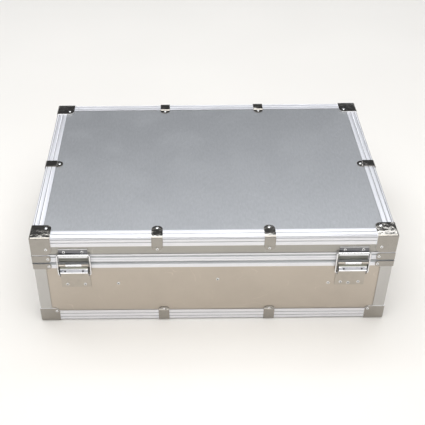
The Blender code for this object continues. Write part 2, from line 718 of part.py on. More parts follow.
def hinge_leaf(name, x, place, up):
    """Leaf over a rim and on to the panel beyond it. The base leaf carries the pin."""
    axis = hinge_axis()
    sheet = HINGE_SHEET
    near = STEP + GAP
    start = axis[1] + up * (HINGE_BARREL + GAP * 2)
    rim_end = (LID_RIM_TOP if up > 0 else BASE_RIM_LOW) + up * GAP
    end = rim_end + up * HINGE_LEAF
    outline = [(near, start), (near, rim_end), (GAP, rim_end + up * STEP), (GAP, end)]
    outline += [(GAP + sheet, end), (GAP + sheet, rim_end + up * (STEP + sheet * 0.4))]
    outline += [(near + sheet, rim_end + up * sheet * 0.4), (near + sheet, start)]
    bm = prism_mesh(outline, x - HINGE_HALF, x + HINGE_HALF, place)
    leaf = object_of(name, bm, STEEL)
    if up > 0:
        spans = [(x - HINGE_KNUCKLE_HALF, x + HINGE_KNUCKLE_HALF)]
    else:
        inner, outer = HINGE_KNUCKLE_HALF + GAP, HINGE_HALF - GAP
        spans = [(x - outer, x - inner), (x + inner, x + outer)]
    root = start + up * sheet * 2
    for i, (low, high) in enumerate(spans):
        knuckle = [(near + sheet * 0.2, root), (near + sheet * 0.8, root)]
        knuckle += [(a, axis[1] + up * (b - axis[1])) for a, b in arc(axis, HINGE_BARREL, 120, -180, 14)]
        bm = prism_mesh(knuckle, low, high, place)
        combine(leaf, object_of(f"{name}_knuckle_{i}", bm, None), "UNION")
    reach = HINGE_HALF * 2 if up > 0 else HINGE_HALF - GAP * 2
    radius = HINGE_PIN + GAP if up > 0 else HINGE_PIN
    pin = rod(f"{name}_pin", place(*axis, x - reach), place(*axis, x + reach), radius, sides=12)
    return combine(leaf, pin, "DIFFERENCE" if up > 0 else "UNION")


def hinges():
    """Two leaf hinges at the back. The base leaves carry the pins."""
    lid = []
    place = along_x(FACE_Y, 1)
    for side, x in (("left", -HINGE_X), ("right", HINGE_X)):
        hinge_leaf(f"{side}_hinge_base_leaf", x, place, -1)
        lid.append(hinge_leaf(f"{side}_hinge_lid_leaf", x, place, 1))
    return lid


# Drop handles


def handle_plate(name, place):
    """Pressed plate on a short side, with two ears bored for the handle's ends."""
    wide, tall = HANDLE_PLATE
    top = HANDLE_Z + HANDLE_EAR + HANDLE_SHEET * 2
    bm = box_between(place, (GAP, top - tall, -wide / 2), (GAP + HANDLE_SHEET, top, wide / 2))
    round_edges(bm, lambda e: abs(e.verts[0].co.x - e.verts[1].co.x) > HANDLE_SHEET / 2, HANDLE_EAR, 4)
    plate = object_of(name, bm, STEEL)
    root = GAP + HANDLE_SHEET / 2
    for side in (-1, 1):
        near, far = sorted(side * y for y in HANDLE_EAR_Y)
        ear = [(root, HANDLE_Z + HANDLE_EAR), (root, HANDLE_Z - HANDLE_EAR)]
        ear += arc((HANDLE_OUT, HANDLE_Z), HANDLE_EAR, 270, 450, 8)
        bm = prism_mesh(ear, near, far, place)
        combine(plate, object_of(f"{name}_ear_{side}", bm, None), "UNION")
    bore = rod(
        f"{name}_bore",
        place(HANDLE_OUT, HANDLE_Z, -wide),
        place(HANDLE_OUT, HANDLE_Z, wide),
        HANDLE_ROD + GAP,
        sides=14,
    )
    return combine(plate, bore, "DIFFERENCE")


def handle_bail(name, place):
    """Bent rod with a moulded grip on its straight run."""
    stub = HANDLE_EAR_Y[0] - GAP
    low = HANDLE_Z - HANDLE_DROP
    corners = [place(HANDLE_OUT, HANDLE_Z, -stub), place(HANDLE_OUT, HANDLE_Z, -HANDLE_ARM_Y)]
    corners += [place(HANDLE_OUT, low, -HANDLE_ARM_Y), place(HANDLE_OUT, low, HANDLE_ARM_Y)]
    corners += [place(HANDLE_OUT, HANDLE_Z, HANDLE_ARM_Y), place(HANDLE_OUT, HANDLE_Z, stub)]
    tight, wide = HANDLE_ROD + GAP * 2, HANDLE_ROD * 2.5
    rough = wire_loop(f"{name}_rod", corners, HANDLE_ROD, (tight, wide, wide, tight), STEEL)
    graph = bpy.context.evaluated_depsgraph_get()
    mesh = bpy.data.meshes.new_from_object(rough.evaluated_get(graph))
    bm = bmesh.new()
    bm.from_mesh(mesh)
    bmesh.ops.remove_doubles(bm, verts=bm.verts, dist=0.01 * MM)
    bpy.data.meshes.remove(mesh)
    bpy.data.objects.remove(rough, do_unlink=True)
    bail = object_of(name, bm, STEEL)
    start, end = place(HANDLE_OUT, low, -GRIP_HALF), place(HANDLE_OUT, low, GRIP_HALF)
    return combine(bail, rod(f"{name}_grip", start, end, GRIP, sides=18), "UNION")


def handles():
    """One handle on each short side."""
    for side, hand in (("left", -1), ("right", 1)):
        def place(out, z, y, hand=hand):
            return (hand * (FACE_X + out), y, z)

        handle_plate(f"{side}_handle_plate", place)
        bail = handle_bail(f"{side}_handle", place)
        hang([bail], f"{side}_handle_axis", place(HANDLE_OUT, HANDLE_Z, 0))


def build():
    """The whole case, with everything on the lid parented to the hinge axis."""
    base_rim()
    corner_posts()
    handles()
    on_lid = edge_frames() + lid_rim() + boards() + linings() + hardware() + latches() + hinges()
    out, z = hinge_axis()
    hang(on_lid, "lid_axis", (0, FACE_Y + out, z))


build()
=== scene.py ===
import json
import math

import bmesh
import bpy
from mathutils import Matrix, Vector


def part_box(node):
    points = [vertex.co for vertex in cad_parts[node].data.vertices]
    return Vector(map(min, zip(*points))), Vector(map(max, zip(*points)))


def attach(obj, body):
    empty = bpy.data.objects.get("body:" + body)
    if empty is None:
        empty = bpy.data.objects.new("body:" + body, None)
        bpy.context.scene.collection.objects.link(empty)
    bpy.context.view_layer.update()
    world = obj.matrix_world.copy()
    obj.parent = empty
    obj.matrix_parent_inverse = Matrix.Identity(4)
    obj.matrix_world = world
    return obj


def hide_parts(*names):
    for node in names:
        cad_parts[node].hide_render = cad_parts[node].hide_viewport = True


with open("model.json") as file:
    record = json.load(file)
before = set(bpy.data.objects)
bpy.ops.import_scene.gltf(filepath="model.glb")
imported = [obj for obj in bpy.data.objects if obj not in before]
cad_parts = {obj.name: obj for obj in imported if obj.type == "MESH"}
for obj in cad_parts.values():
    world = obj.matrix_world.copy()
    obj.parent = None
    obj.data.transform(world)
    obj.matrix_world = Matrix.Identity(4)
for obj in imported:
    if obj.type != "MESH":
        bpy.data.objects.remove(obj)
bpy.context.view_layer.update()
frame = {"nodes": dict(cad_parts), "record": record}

MM = 0.001
NODES = frame["nodes"]
BODIES = frame["record"]["behaviour"]["bodies"]
BODY_OF = {node: body for body, members in BODIES.items() for node in members}
CORNERS = [
    ("front_left", -1, -1),
    ("front_right", 1, -1),
    ("back_left", -1, 1),
    ("back_right", 1, 1),
]
SIDES = [("left", -1), ("right", 1)]


# The case's own planes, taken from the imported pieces

def plane(name, axis, high):
    """Lowest or highest place of a piece along one axis."""
    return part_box(name)[1 if high else 0][axis]


CASE_X = plane("lid_cap_front_right", 0, True)
CASE_Y = plane("lid_cap_back_right", 1, True)
CASE_TOP = plane("lid_cap_front_right", 2, True)
FACE_X = plane("lid_right_panel", 0, True)
FACE_Y = plane("lid_back_panel", 1, True)
FACE_TOP = plane("lid_top_panel", 2, True)
GAP = 0.3 * MM
SHEET = 1.0 * MM  # caps, clips and brackets
PLATE = 1.2 * MM  # latch plates, strikes and hinge leaves
HANDLE_SHEET = 1.5 * MM
WELD = 0.002 * MM  # corners closer than this are made one
CAP_BEND = 3.2 * MM
CAP_TAB_ROUND = 10.0 * MM
SHARP_TURN = 1.0  # radians, for the cut edge of a sheet

# Radii of softened edges, and how many degrees an edge of a fitting turns before it counts as sharp
SHEET_ROUND = 0.25 * MM
LEVER_ROUND = 0.2 * MM
HANDLE_ROUND = 0.3 * MM
POST_ROUND = 0.15 * MM
FITTING_ANGLE = 35

# Latch wire, handle rod and grip: radii, and how far their ends turn in to the ears
WIRE = 1.7 * MM
WIRE_STUB = 4.2 * MM
ROD = 3.0 * MM
ROD_STUB = 11.3 * MM
GRIP_HALF = 40 * MM
GRIP_SWELL = 0.10
GRIP_RIB = 0.35 * MM
GRIP_RIB_PITCH = 5 * MM
GRIP_RIBBED = 0.82  # shares of the half length
GRIP_END = 0.94

FOAM_THICK = 3.0 * MM
FOAM_ROUND = 0.8 * MM
FOAM_PITCH = 30 * MM  # largest size of one face of a foam sheet

# How deep in a profile's channel the painted shade starts, and over how much more it turns full
CHANNEL_FROM = 0.3 * MM
CHANNEL_OVER = 0.35 * MM

# Bands of painted shade, painted shadow and painted reflection on the latches and on the rim behind
# them: ends along X or Z, and how soft the ends are
LATCH_MIDDLE = 250 * MM
LATCH_HALF = 27 * MM
LEVER_EAR_IN = 24.8 * MM
STRIKE_FACE = (166.3 * MM, 177.0 * MM)
BEHIND_WIRE = (148.0 * MM, 161.5 * MM)
LEVER_NECK = (138.6 * MM, 143.0 * MM)
LEVER_LIP = (132.6 * MM, 136.4 * MM)
BAND_SOFT = 0.35 * MM

# Holes in a lever's lip: how far from its middle, then Y, Z and the way the lip faces
LIP_HOLE = (16 * MM, -235.75 * MM, 134.65 * MM)
LIP_FACING = (0.0, -0.84, 0.54)

# Clips of the base's back and side walls, and their places along those walls
SPARE_CLIPS = ("back_left", "back_right", "left", "right")
BACK_CLIPS_X = (-90 * MM, 112 * MM)
SIDE_CLIPS_Y = (3 * MM, -5 * MM)

# Rivets: how far in from the case's corner or from a fitting's middle, and how high.
# The strike's and the latch plate's are (from middle, Z), the hinge's (from middle, Z on the lid,
# Z on the base), the handle plate's (from middle, lower Z, upper Z), and the last two (X, Z).
CAP_RIVET_IN = 28 * MM
LID_CAP_RIVET_DOWN = 26.5 * MM
BASE_CAP_RIVET_IN = 32 * MM
BASE_CAP_RIVET_UP = 25.5 * MM
BRACKET_RIVET_IN = 29.5 * MM
LID_BRACKET_RIVET_Z = 156 * MM
BASE_BRACKET_RIVET_Z = 138.5 * MM
CLIP_RIVET_IN = 28.5 * MM
BASE_CLIP_RIVET_UP = 27 * MM
STRIKE_RIVET = (16.3 * MM, 171.5 * MM)
LATCH_PLATE_RIVET = (16.2 * MM, 94 * MM)
HINGE_RIVET = (22 * MM, 173 * MM, 126 * MM)
HANDLE_RIVET = (53.5 * MM, 52 * MM, 100 * MM)
PANEL_RIVETS = ((-173 * MM, 93.4 * MM), (9 * MM, 101.8 * MM), (212 * MM, 90.6 * MM))
SPARE_PLATE_RIVET = (248 * MM, 92 * MM)

# Rivet heads, and the flat discs of painted shade that make the holes in a lever's lip look dark
CAP_HEAD = {"head_radius": 2.9 * MM, "seed": 3}
CLIP_HEAD = {"head_radius": 2.8 * MM, "seed": 5}
FITTING_HEAD = {"head_radius": 3.1 * MM, "hollow_radius": 1.4 * MM, "head_height": 1.0 * MM, "seed": 7}
# A hollow wider than the head makes the whole disc painted shade
LIP_HOLE_SHADE = {
    "head_radius": 1.9 * MM, "head_height": 0.05 * MM,
    "hollow_radius": 3.0 * MM, "hollow_depth": 0.02 * MM, "tilt": 0.0,
}

# Colours of plated steel, and of the painted shade, shadow and reflections in a profile's channels, on
# and behind the latches and in rivet hollows
BRIGHT = (0.80, 0.80, 0.81)
CHANNEL_SHADE = (0.40, 0.40, 0.41, 1.0)
RIM_CHANNEL_SHADE = (0.62, 0.63, 0.64, 1.0)
SHADED_RIM = (0.16, 0.16, 0.12, 1.0)
SHADE_SHARE = 0.8
STRIKE_DARK_REFLECTION = (0.20, 0.20, 0.21)
NECK_DARK_REFLECTION = (0.17, 0.175, 0.13)
LIP_DARK_REFLECTION = (0.27, 0.28, 0.31)
DEEP_SHADE = (0.03, 0.03, 0.03)


# Shader helpers

def feed(tree, value, socket):
    """Join an output to a socket, or set the socket's own value."""
    if isinstance(value, bpy.types.NodeSocket):
        tree.links.new(value, socket)
    else:
        socket.default_value = value


def node(tree, kind, inputs=(), **settings):
    """Add a node with its settings, and feed its inputs by name or number."""
    made = tree.nodes.new(kind)
    for key, value in settings.items():
        setattr(made, key, value)
    for key, value in dict(inputs).items():
        feed(tree, value, made.inputs[key])
    return made


def maths(tree, operation, a, b=0.0, c=0.0, clamp=False):
    """Result of a maths node."""
    made = node(tree, "ShaderNodeMath", {0: a, 1: b, 2: c}, operation=operation, use_clamp=clamp)
    return made.outputs[0]


def vector_maths(tree, operation, a, b):
    """Result of a vector maths node with two vectors."""
    return node(tree, "ShaderNodeVectorMath", {0: a, 1: b}, operation=operation).outputs[0]


def ramp(tree, value, low, high, to_low=0.0, to_high=1.0):
    """Map a value from low..high to to_low..to_high, with soft ends."""
    inputs = {"Value": value, 1: low, 2: high, 3: to_low, 4: to_high}
    return node(
        tree, "ShaderNodeMapRange", inputs, interpolation_type="SMOOTHSTEP", clamp=True
    ).outputs[0]


def noise(tree, vector, detail=2.0, roughness=0.5):
    """Noise around one half, at a scale of one."""
    inputs = {"Vector": vector, "Scale": 1.0, "Detail": detail, "Roughness": roughness}
    return node(tree, "ShaderNodeTexNoise", inputs).outputs["Fac"]


def new_group(name, inputs, outputs):
    """Shader group with float or vector sockets. inputs are (name, kind, value); outputs are names."""
    group = bpy.data.node_groups.new(name, "ShaderNodeTree")
    for label, kind, value in inputs:
        socket = group.interface.new_socket(label, in_out="INPUT", socket_type=kind)
        if kind == "NodeSocketFloat":
            socket.default_value = value
    for label in outputs:
        group.interface.new_socket(label, in_out="OUTPUT", socket_type="NodeSocketFloat")
    start = group.nodes.new("NodeGroupInput")
    end = group.nodes.new("NodeGroupOutput")
    return group, start.outputs, end.inputs


def times(tree, vector, factor):
    """A vector multiplied by a number."""
    inputs = {0: vector, "Scale": factor}
    return node(tree, "ShaderNodeVectorMath", inputs, operation="SCALE").outputs[0]


def scaled(tree, coordinates, size, stretch=(1.0, 1.0, 1.0)):
    """Coordinates divided by a size, and drawn out along an axis."""
    by_size = times(tree, coordinates, maths(tree, "DIVIDE", 1.0, size))
    return vector_maths(tree, "MULTIPLY", by_size, stretch)


def satin_grain_group():
    """Fine grain of a rolled or drawn metal face, with a broad mottle over it."""
    group, given, out = new_group(
        "satin_grain",
        [
            ("Coordinates", "NodeSocketVector", None),
            ("Grain Size", "NodeSocketFloat", 1.0 * MM),
            ("Mottle Size", "NodeSocketFloat", 30 * MM),
            ("Grain Strength", "NodeSocketFloat", 0.05),
            ("Mottle Strength", "NodeSocketFloat", 0.05),
        ],
        ["Tone", "Height"],
    )
    drawn_out = scaled(group, given["Coordinates"], given["Grain Size"], (1.0, 0.3, 1.0))
    fine = noise(group, drawn_out, 3.0, 0.6)
    broad = noise(group, scaled(group, given["Coordinates"], given["Mottle Size"]), 3.0, 0.55)
    fine_off = maths(group, "SUBTRACT", fine, 0.5)
    broad_off = maths(group, "SUBTRACT", broad, 0.5)
    tone = maths(group, "MULTIPLY_ADD", fine_off, given["Grain Strength"], 1.0)
    tone = maths(group, "MULTIPLY_ADD", broad_off, given["Mottle Strength"], tone)
    feed(group, tone, out["Tone"])
    feed(group, fine, out["Height"])
    return group


def scratches_group():
    """Straight hairline scratches in two directions, kept to a few patches."""
    group, given, out = new_group(
        "hairline_scratches",
        [
            ("Coordinates", "NodeSocketVector", None),
            ("Spacing", "NodeSocketFloat", 25 * MM),
            ("Width", "NodeSocketFloat", 0.01),
            ("Share", "NodeSocketFloat", 0.35),
        ],
        ["Mask"],
    )
    place = scaled(group, given["Coordinates"], given["Spacing"])
    found = None
    for angle, away in ((0.5, 3.1), (2.2, 7.7)):
        turned = node(
            group, "ShaderNodeVectorRotate", {"Vector": place, "Angle": angle}, rotation_type="Z_AXIS"
        ).outputs[0]
        wave = noise(group, vector_maths(group, "MULTIPLY", turned, (0.018, 1.0, 1.0)), 0.0)
        off = maths(group, "ABSOLUTE", maths(group, "SUBTRACT", wave, 0.5))
        line = ramp(group, off, 0.0, given["Width"], 1.0, 0.0)
        patch = noise(group, vector_maths(group, "ADD", turned, (away, away, away)), 1.0)
        line = maths(group, "MULTIPLY", line, ramp(group, patch, 0.58, 0.68))
        found = line if found is None else maths(group, "MAXIMUM", found, line)
    feed(group, maths(group, "MULTIPLY", found, given["Share"]), out["Mask"])
    return group


def handling_group():
    """Faint haze where a surface is touched and wiped."""
    group, given, out = new_group(
        "handling_haze",
        [
            ("Coordinates", "NodeSocketVector", None),
            ("Patch Size", "NodeSocketFloat", 60 * MM),
            ("Amount", "NodeSocketFloat", 0.1),
        ],
        ["Roughness", "Tone"],
    )
    wide = noise(group, scaled(group, given["Coordinates"], given["Patch Size"]), 4.0, 0.6)
    patch = ramp(group, wide, 0.42, 0.68)
    feed(group, maths(group, "MULTIPLY", patch, given["Amount"]), out["Roughness"])
    loss = maths(group, "MULTIPLY", patch, maths(group, "MULTIPLY", given["Amount"], -0.35))
    feed(group, maths(group, "ADD", loss, 1.0), out["Tone"])
    return group


def press_ripple_group():
    """Slight unevenness of thin pressed metal, seen in its reflections."""
    group, given, out = new_group(
        "press_ripple",
        [
            ("Coordinates", "NodeSocketVector", None),
            ("Ripple Size", "NodeSocketFloat", 9 * MM),
        ],
        ["Height"],
    )
    ripple = noise(group, scaled(group, given["Coordinates"], given["Ripple Size"]))
    feed(group, ripple, out["Height"])
    return group


GROUPS = {
    "grain": satin_grain_group(),
    "scratches": scratches_group(),
    "handling": handling_group(),
    "ripple": press_ripple_group(),
}


def place_group(tree, name, **inputs):
    """Outputs of one of the shared groups, set in a material with its own values."""
    made = tree.nodes.new("ShaderNodeGroup")
    made.node_tree = GROUPS[name]
    for key, value in inputs.items():
        feed(tree, value, made.inputs[key.replace("_", " ").title()])
    return made.outputs


def toned(tree, colour, tone, mask=None, mask_colour=None):
    """A colour multiplied by a tone, and mixed to another colour where a mask says so."""
    base = times(tree, colour, tone)
    return base if mask is None else blend(tree, mask, base, mask_colour)


def blend(tree, share, colour, other):
    """Mix of two colours, by the share of the other one."""
    mixed = node(tree, "ShaderNodeMix", {"Factor": share}, data_type="RGBA")
    feed(tree, colour, mixed.inputs[6])
    feed(tree, other, mixed.inputs[7])
    return mixed.outputs[2]


def band(tree, place, axis, low, high):
    """One between two places along an axis and none outside, on both sides of the case for X."""
    along = node(tree, "ShaderNodeSeparateXYZ", {0: place}).outputs[axis]
    if axis == "X":
        along = maths(tree, "ABSOLUTE", along)
    rise = ramp(tree, along, low - BAND_SOFT, low + BAND_SOFT)
    fall = ramp(tree, along, high - BAND_SOFT, high + BAND_SOFT, 1.0, 0.0)
    return maths(tree, "MULTIPLY", rise, fall)


def lighter(colour, factor):
    """A colour made lighter, with an alpha, for a mix."""
    return (*[min(1.0, part * factor) for part in colour], 1.0)


def finish_base(name, metallic, roughness, **more):
    """A new material, its tree, its shader and its object coordinates."""
    material = bpy.data.materials.new(name)
    material.use_nodes = True
    tree = material.node_tree
    shader = tree.nodes["Principled BSDF"]
    shader.inputs["Metallic"].default_value = metallic
    shader.inputs["Roughness"].default_value = roughness
    for key, value in more.items():
        shader.inputs[key.replace("_", " ")].default_value = value
    coordinates = tree.nodes.new("ShaderNodeTexCoord").outputs["Object"]
    return material, tree, shader, coordinates


def bump(tree, shader, height, depth, strength=1.0):
    """Small relief of a given depth."""
    made = node(tree, "ShaderNodeBump", {"Height": height, "Distance": depth, "Strength": strength})
    tree.links.new(made.outputs[0], shader.inputs["Normal"])


def sheet_metal(name, colour, roughness, grain, mottle, handled, grain_size):
    """Satin aluminium sheet: fine grain, broad mottle, hairline scratches and faint handling haze."""
    material, tree, shader, place = finish_base(name, 1.0, roughness)
    grained = place_group(
        tree, "grain", coordinates=place, grain_size=grain_size, mottle_size=35 * MM,
        grain_strength=grain, mottle_strength=mottle,
    )
    marks = place_group(
        tree, "scratches", coordinates=place, spacing=34 * MM, width=0.006, share=0.3
    )
    haze = place_group(tree, "handling", coordinates=place, patch_size=90 * MM, amount=handled)
    tone = maths(tree, "MULTIPLY", grained["Tone"], haze["Tone"])
    shown = toned(tree, colour, tone, marks["Mask"], lighter(colour, 1.5))
    tree.links.new(shown, shader.inputs["Base Color"])
    rough = maths(tree, "ADD", haze["Roughness"], roughness)
    rough = maths(tree, "MULTIPLY_ADD", marks["Mask"], -0.15, rough)
    tree.links.new(rough, shader.inputs["Roughness"])
    bump(tree, shader, grained["Height"], 0.02 * MM, 0.5)
    return material


def anodised_profile(name, colour, channel_shade, roughness, groove_rough):
    """Bright drawn aluminium, with painted shade in its channels and a painted shadow where a latch
    shades it.
    """
    material, tree, shader, place = finish_base(name, 1.0, roughness)
    grained = place_group(
        tree, "grain", coordinates=place, grain_size=0.8 * MM, mottle_size=50 * MM,
        grain_strength=0.03, mottle_strength=0.03,
    )
    haze = place_group(tree, "handling", coordinates=place, patch_size=70 * MM, amount=0.04)
    # Painted shade: the channel mask darkens the colour deep in the channels
    channel = node(tree, "ShaderNodeAttribute", attribute_name="channel").outputs["Fac"]
    tone = maths(tree, "MULTIPLY", grained["Tone"], haze["Tone"])
    drawn = toned(tree, colour, tone, channel, channel_shade)
    # The dull mask is a painted shadow of each latch on the rim ribs behind its wire
    across = band(tree, place, "X", LATCH_MIDDLE - LATCH_HALF, LATCH_MIDDLE + LATCH_HALF)
    dull = maths(tree, "MULTIPLY", across, band(tree, place, "Z", *BEHIND_WIRE))
    dull = maths(tree, "MULTIPLY", dull, SHADE_SHARE)
    tree.links.new(blend(tree, dull, drawn, SHADED_RIM), shader.inputs["Base Color"])
    rough = maths(tree, "ADD", haze["Roughness"], roughness)
    rough = maths(tree, "MULTIPLY_ADD", channel, groove_rough, rough)
    tree.links.new(rough, shader.inputs["Roughness"])
    bump(tree, shader, grained["Height"], 0.002 * MM, 0.3)
    return material


def plated_steel(name, colour, roughness, ripple, scratch, bands=()):
    """Bright plated pressed steel with slightly uneven reflections, and painted shade, shadow and
    reflections in some bands.

    bands are (axis, ends, share, colour).
    """
    material, tree, shader, place = finish_base(name, 1.0, roughness)
    uneven = place_group(tree, "ripple", coordinates=place, ripple_size=9 * MM)
    marks = place_group(
        tree, "scratches", coordinates=place, spacing=11 * MM, width=0.01, share=scratch
    )
    haze = place_group(tree, "handling", coordinates=place, patch_size=14 * MM, amount=0.12)
    shown = toned(tree, colour, haze["Tone"], marks["Mask"], lighter(colour, 1.25))
    # Each band mixes its painted shade, shadow and reflection colour into the steel's colour
    for axis, ends, share, dark in bands:
        inside = maths(tree, "MULTIPLY", band(tree, place, axis, *ends), share)
        shown = blend(tree, inside, shown, (*dark, 1.0))
    tree.links.new(shown, shader.inputs["Base Color"])
    rough = maths(tree, "ADD", haze["Roughness"], roughness)
    rough = maths(tree, "MULTIPLY_ADD", marks["Mask"], 0.15, rough)
    tree.links.new(rough, shader.inputs["Roughness"])
    bump(tree, shader, uneven["Height"], ripple)
    return material


def rivet_metal(name, colour, roughness):
    """Bright aluminium rivet head, with painted shade down in its hollow."""
    material, tree, shader, place = finish_base(name, 1.0, roughness)
    haze = place_group(tree, "handling", coordinates=place, patch_size=3 * MM, amount=0.12)
    # Painted shade: the hollow mask mixes the colour to near black down in the hollow
    hollow = node(tree, "ShaderNodeAttribute", attribute_name="hollow").outputs["Fac"]
    shown = toned(tree, colour, haze["Tone"], hollow, (*DEEP_SHADE, 1.0))
    tree.links.new(shown, shader.inputs["Base Color"])
    rough = maths(tree, "ADD", haze["Roughness"], roughness)
    rough = maths(tree, "MULTIPLY_ADD", hollow, 0.3, rough)
    tree.links.new(rough, shader.inputs["Roughness"])
    return material


def cells(tree, place, size):
    """Distance from the middle of small irregular cells."""
    inputs = {"Vector": scaled(tree, place, size), "Scale": 1.0}
    return node(tree, "ShaderNodeTexVoronoi", inputs).outputs["Distance"]


def foam_sheet(name):
    """Matt black closed cell foam with fine pores."""
    material, tree, shader, place = finish_base(name, 0.0, 0.92, Specular_IOR_Level=0.25)
    pores = cells(tree, place, 0.9 * MM)
    grained = place_group(
        tree, "grain", coordinates=place, grain_size=2.5 * MM, mottle_size=60 * MM,
        grain_strength=0.3, mottle_strength=0.35,
    )
    tone = maths(tree, "MULTIPLY", grained["Tone"], ramp(tree, pores, 0.0, 0.5, 0.8, 1.1))
    tree.links.new(toned(tree, (0.028, 0.028, 0.031), tone), shader.inputs["Base Color"])
    bump(tree, shader, pores, 0.25 * MM, 0.6)
    return material


def moulded_rubber(name):
    """Black moulded grip with a fine leathery texture and dull worn spots."""
    material, tree, shader, place = finish_base(name, 0.0, 0.55)
    pebble = cells(tree, place, 0.8 * MM)
    haze = place_group(tree, "handling", coordinates=place, patch_size=12 * MM, amount=0.2)
    tree.links.new(toned(tree, (0.022, 0.022, 0.024), haze["Tone"]), shader.inputs["Base Color"])
    tree.links.new(maths(tree, "ADD", haze["Roughness"], 0.5), shader.inputs["Roughness"])
    bump(tree, shader, pebble, 0.08 * MM, 0.5)
    return material


# Finishes

TOP_SHEET = sheet_metal(
    "top_sheet_satin", (0.42, 0.427, 0.44), roughness=0.46, grain=0.30, mottle=0.03, handled=0.04,
    grain_size=3.2 * MM,
)
# The lid's walls: the base walls' satin sheet, coloured darker as painted shade
LID_SIDE_SHEET_SHADED = sheet_metal(
    "lid_side_sheet_satin_shaded", (0.42, 0.405, 0.375), roughness=0.42, grain=0.06, mottle=0.05, handled=0.06,
    grain_size=2.0 * MM,
)
SIDE_SHEET = sheet_metal(
    "side_sheet_satin", (0.53, 0.475, 0.412), roughness=0.42, grain=0.06, mottle=0.05, handled=0.06,
    grain_size=2.0 * MM,
)
PROFILE = anodised_profile(
    "anodised_profile", (0.83, 0.83, 0.86), CHANNEL_SHADE, roughness=0.47, groove_rough=0.3
)
RIM_PROFILE = anodised_profile(
    "anodised_rim_profile", (0.83, 0.83, 0.86), RIM_CHANNEL_SHADE, roughness=0.47, groove_rough=0.45
)
POST = anodised_profile("anodised_post", (0.51, 0.50, 0.485), CHANNEL_SHADE, roughness=0.30, groove_rough=0.3)
# Cut sheet edges: rougher than the corner steel, and coloured much lighter as a painted highlight
EDGE_HIGHLIGHT = plated_steel(
    "sheet_edge_highlight", (0.85, 0.85, 0.85), roughness=0.5, ripple=0.01 * MM, scratch=0.0
)
CORNER_STEEL = plated_steel(
    "corner_steel", (0.37, 0.35, 0.32), roughness=0.10, ripple=0.8 * MM, scratch=0.25
)
# The strike's flat face gets a painted dark reflection; its top lip and bead stay bright
STRIKE_STEEL = plated_steel(
    "strike_steel", BRIGHT, roughness=0.28, ripple=0.02 * MM, scratch=0.1,
    bands=[("Z", STRIKE_FACE, 1.0, STRIKE_DARK_REFLECTION)],
)
# Painted dark reflections across the lever's neck and its lip
LEVER_STEEL = plated_steel(
    "lever_steel", BRIGHT, roughness=0.14, ripple=0.02 * MM, scratch=0.1,
    bands=[
        ("Z", LEVER_NECK, 0.9, NECK_DARK_REFLECTION),
        ("Z", LEVER_LIP, 0.85, LIP_DARK_REFLECTION),
        # Painted shadow in the gaps beside the lever's ears
        ("X", (LATCH_MIDDLE - LATCH_HALF, LATCH_MIDDLE - LEVER_EAR_IN), 0.95, DEEP_SHADE),
        ("X", (LATCH_MIDDLE + LEVER_EAR_IN, LATCH_MIDDLE + LATCH_HALF), 0.95, DEEP_SHADE),
    ],
)
LATCH_STEEL = plated_steel("latch_steel", BRIGHT, roughness=0.12, ripple=0.03 * MM, scratch=0.1)
PLATE_STEEL = plated_steel(
    "latch_plate_steel", (0.47, 0.43, 0.38), roughness=0.30, ripple=0.01 * MM, scratch=0.1
)
FITTING_STEEL = plated_steel(
    "fitting_steel", (0.60, 0.60, 0.60), roughness=0.22, ripple=0.04 * MM, scratch=0.25
)
RIVET_STEEL = rivet_metal("rivet_steel", (0.82, 0.82, 0.82), roughness=0.16)
FOAM = foam_sheet("foam_lining")
RUBBER = moulded_rubber("grip_rubber")


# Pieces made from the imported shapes, with merged corners and soft edges

def merged(name):
    """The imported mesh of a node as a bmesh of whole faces."""
    bm = bmesh.new()
    bm.from_mesh(NODES[name].data)
    for layer in list(bm.loops.layers.uv):
        bm.loops.layers.uv.remove(layer)
    bmesh.ops.remove_doubles(bm, verts=bm.verts, dist=WELD)
    bmesh.ops.dissolve_limit(
        bm, angle_limit=math.radians(0.5), verts=bm.verts[:], edges=bm.edges[:],
        use_dissolve_boundaries=False,
    )
    return bm


def object_from(name, bm, material):
    """Object of a finished bmesh. Corner steel also gets the painted highlight material of its cut
    edges.
    """
    mesh = bpy.data.meshes.new(name)
    bm.to_mesh(mesh)
    bm.free()
    mesh.materials.clear()
    mesh.materials.append(material)
    if material == CORNER_STEEL:
        mesh.materials.append(EDGE_HIGHLIGHT)
    made = bpy.data.objects.new(name, mesh)
    bpy.context.scene.collection.objects.link(made)
    return made


def soften(piece, radius, segments=2, angle=28):
    """Shade a piece smooth between its sharp edges, and round those by a radius."""
    mesh = piece.data
    mesh.shade_smooth()
    mesh.set_sharp_from_angle(angle=math.radians(angle))
    if radius:
        edge = piece.modifiers.new("soft edge", "BEVEL")
        edge.width = radius
        edge.segments = segments
        edge.limit_method = "ANGLE"
        edge.angle_limit = math.radians(angle)
        edge.harden_normals = True
        edge.use_clamp_overlap = True


def settle(piece, body, slot, *nodes):
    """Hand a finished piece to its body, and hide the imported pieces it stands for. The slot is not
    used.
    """
    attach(piece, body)
    if nodes:
        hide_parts(*nodes)


def mark_sheet_edges(bm):
    """Give the cut edges of thin sheet, narrow and mostly sharp all round, the second material, their
    painted highlight.
    """
    for face in bm.faces:
        around = sum(edge.calc_length() for edge in face.edges)
        turned = [edge for edge in face.edges if edge.calc_face_angle(0.0) > SHARP_TURN]
        sharp = sum(edge.calc_length() for edge in turned)
        if sharp > 0.6 * around and 2 * face.calc_area() / around < 1.2 * SHEET:
            face.material_index = 1


def refined(node_name, material, slot, radius, angle=28):
    """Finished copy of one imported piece."""
    bm = merged(node_name)
    if material == CORNER_STEEL:
        mark_sheet_edges(bm)
    piece = object_from(f"{node_name}_finished", bm, material)
    soften(piece, radius, angle=angle)
    settle(piece, BODY_OF[node_name], slot, node_name)


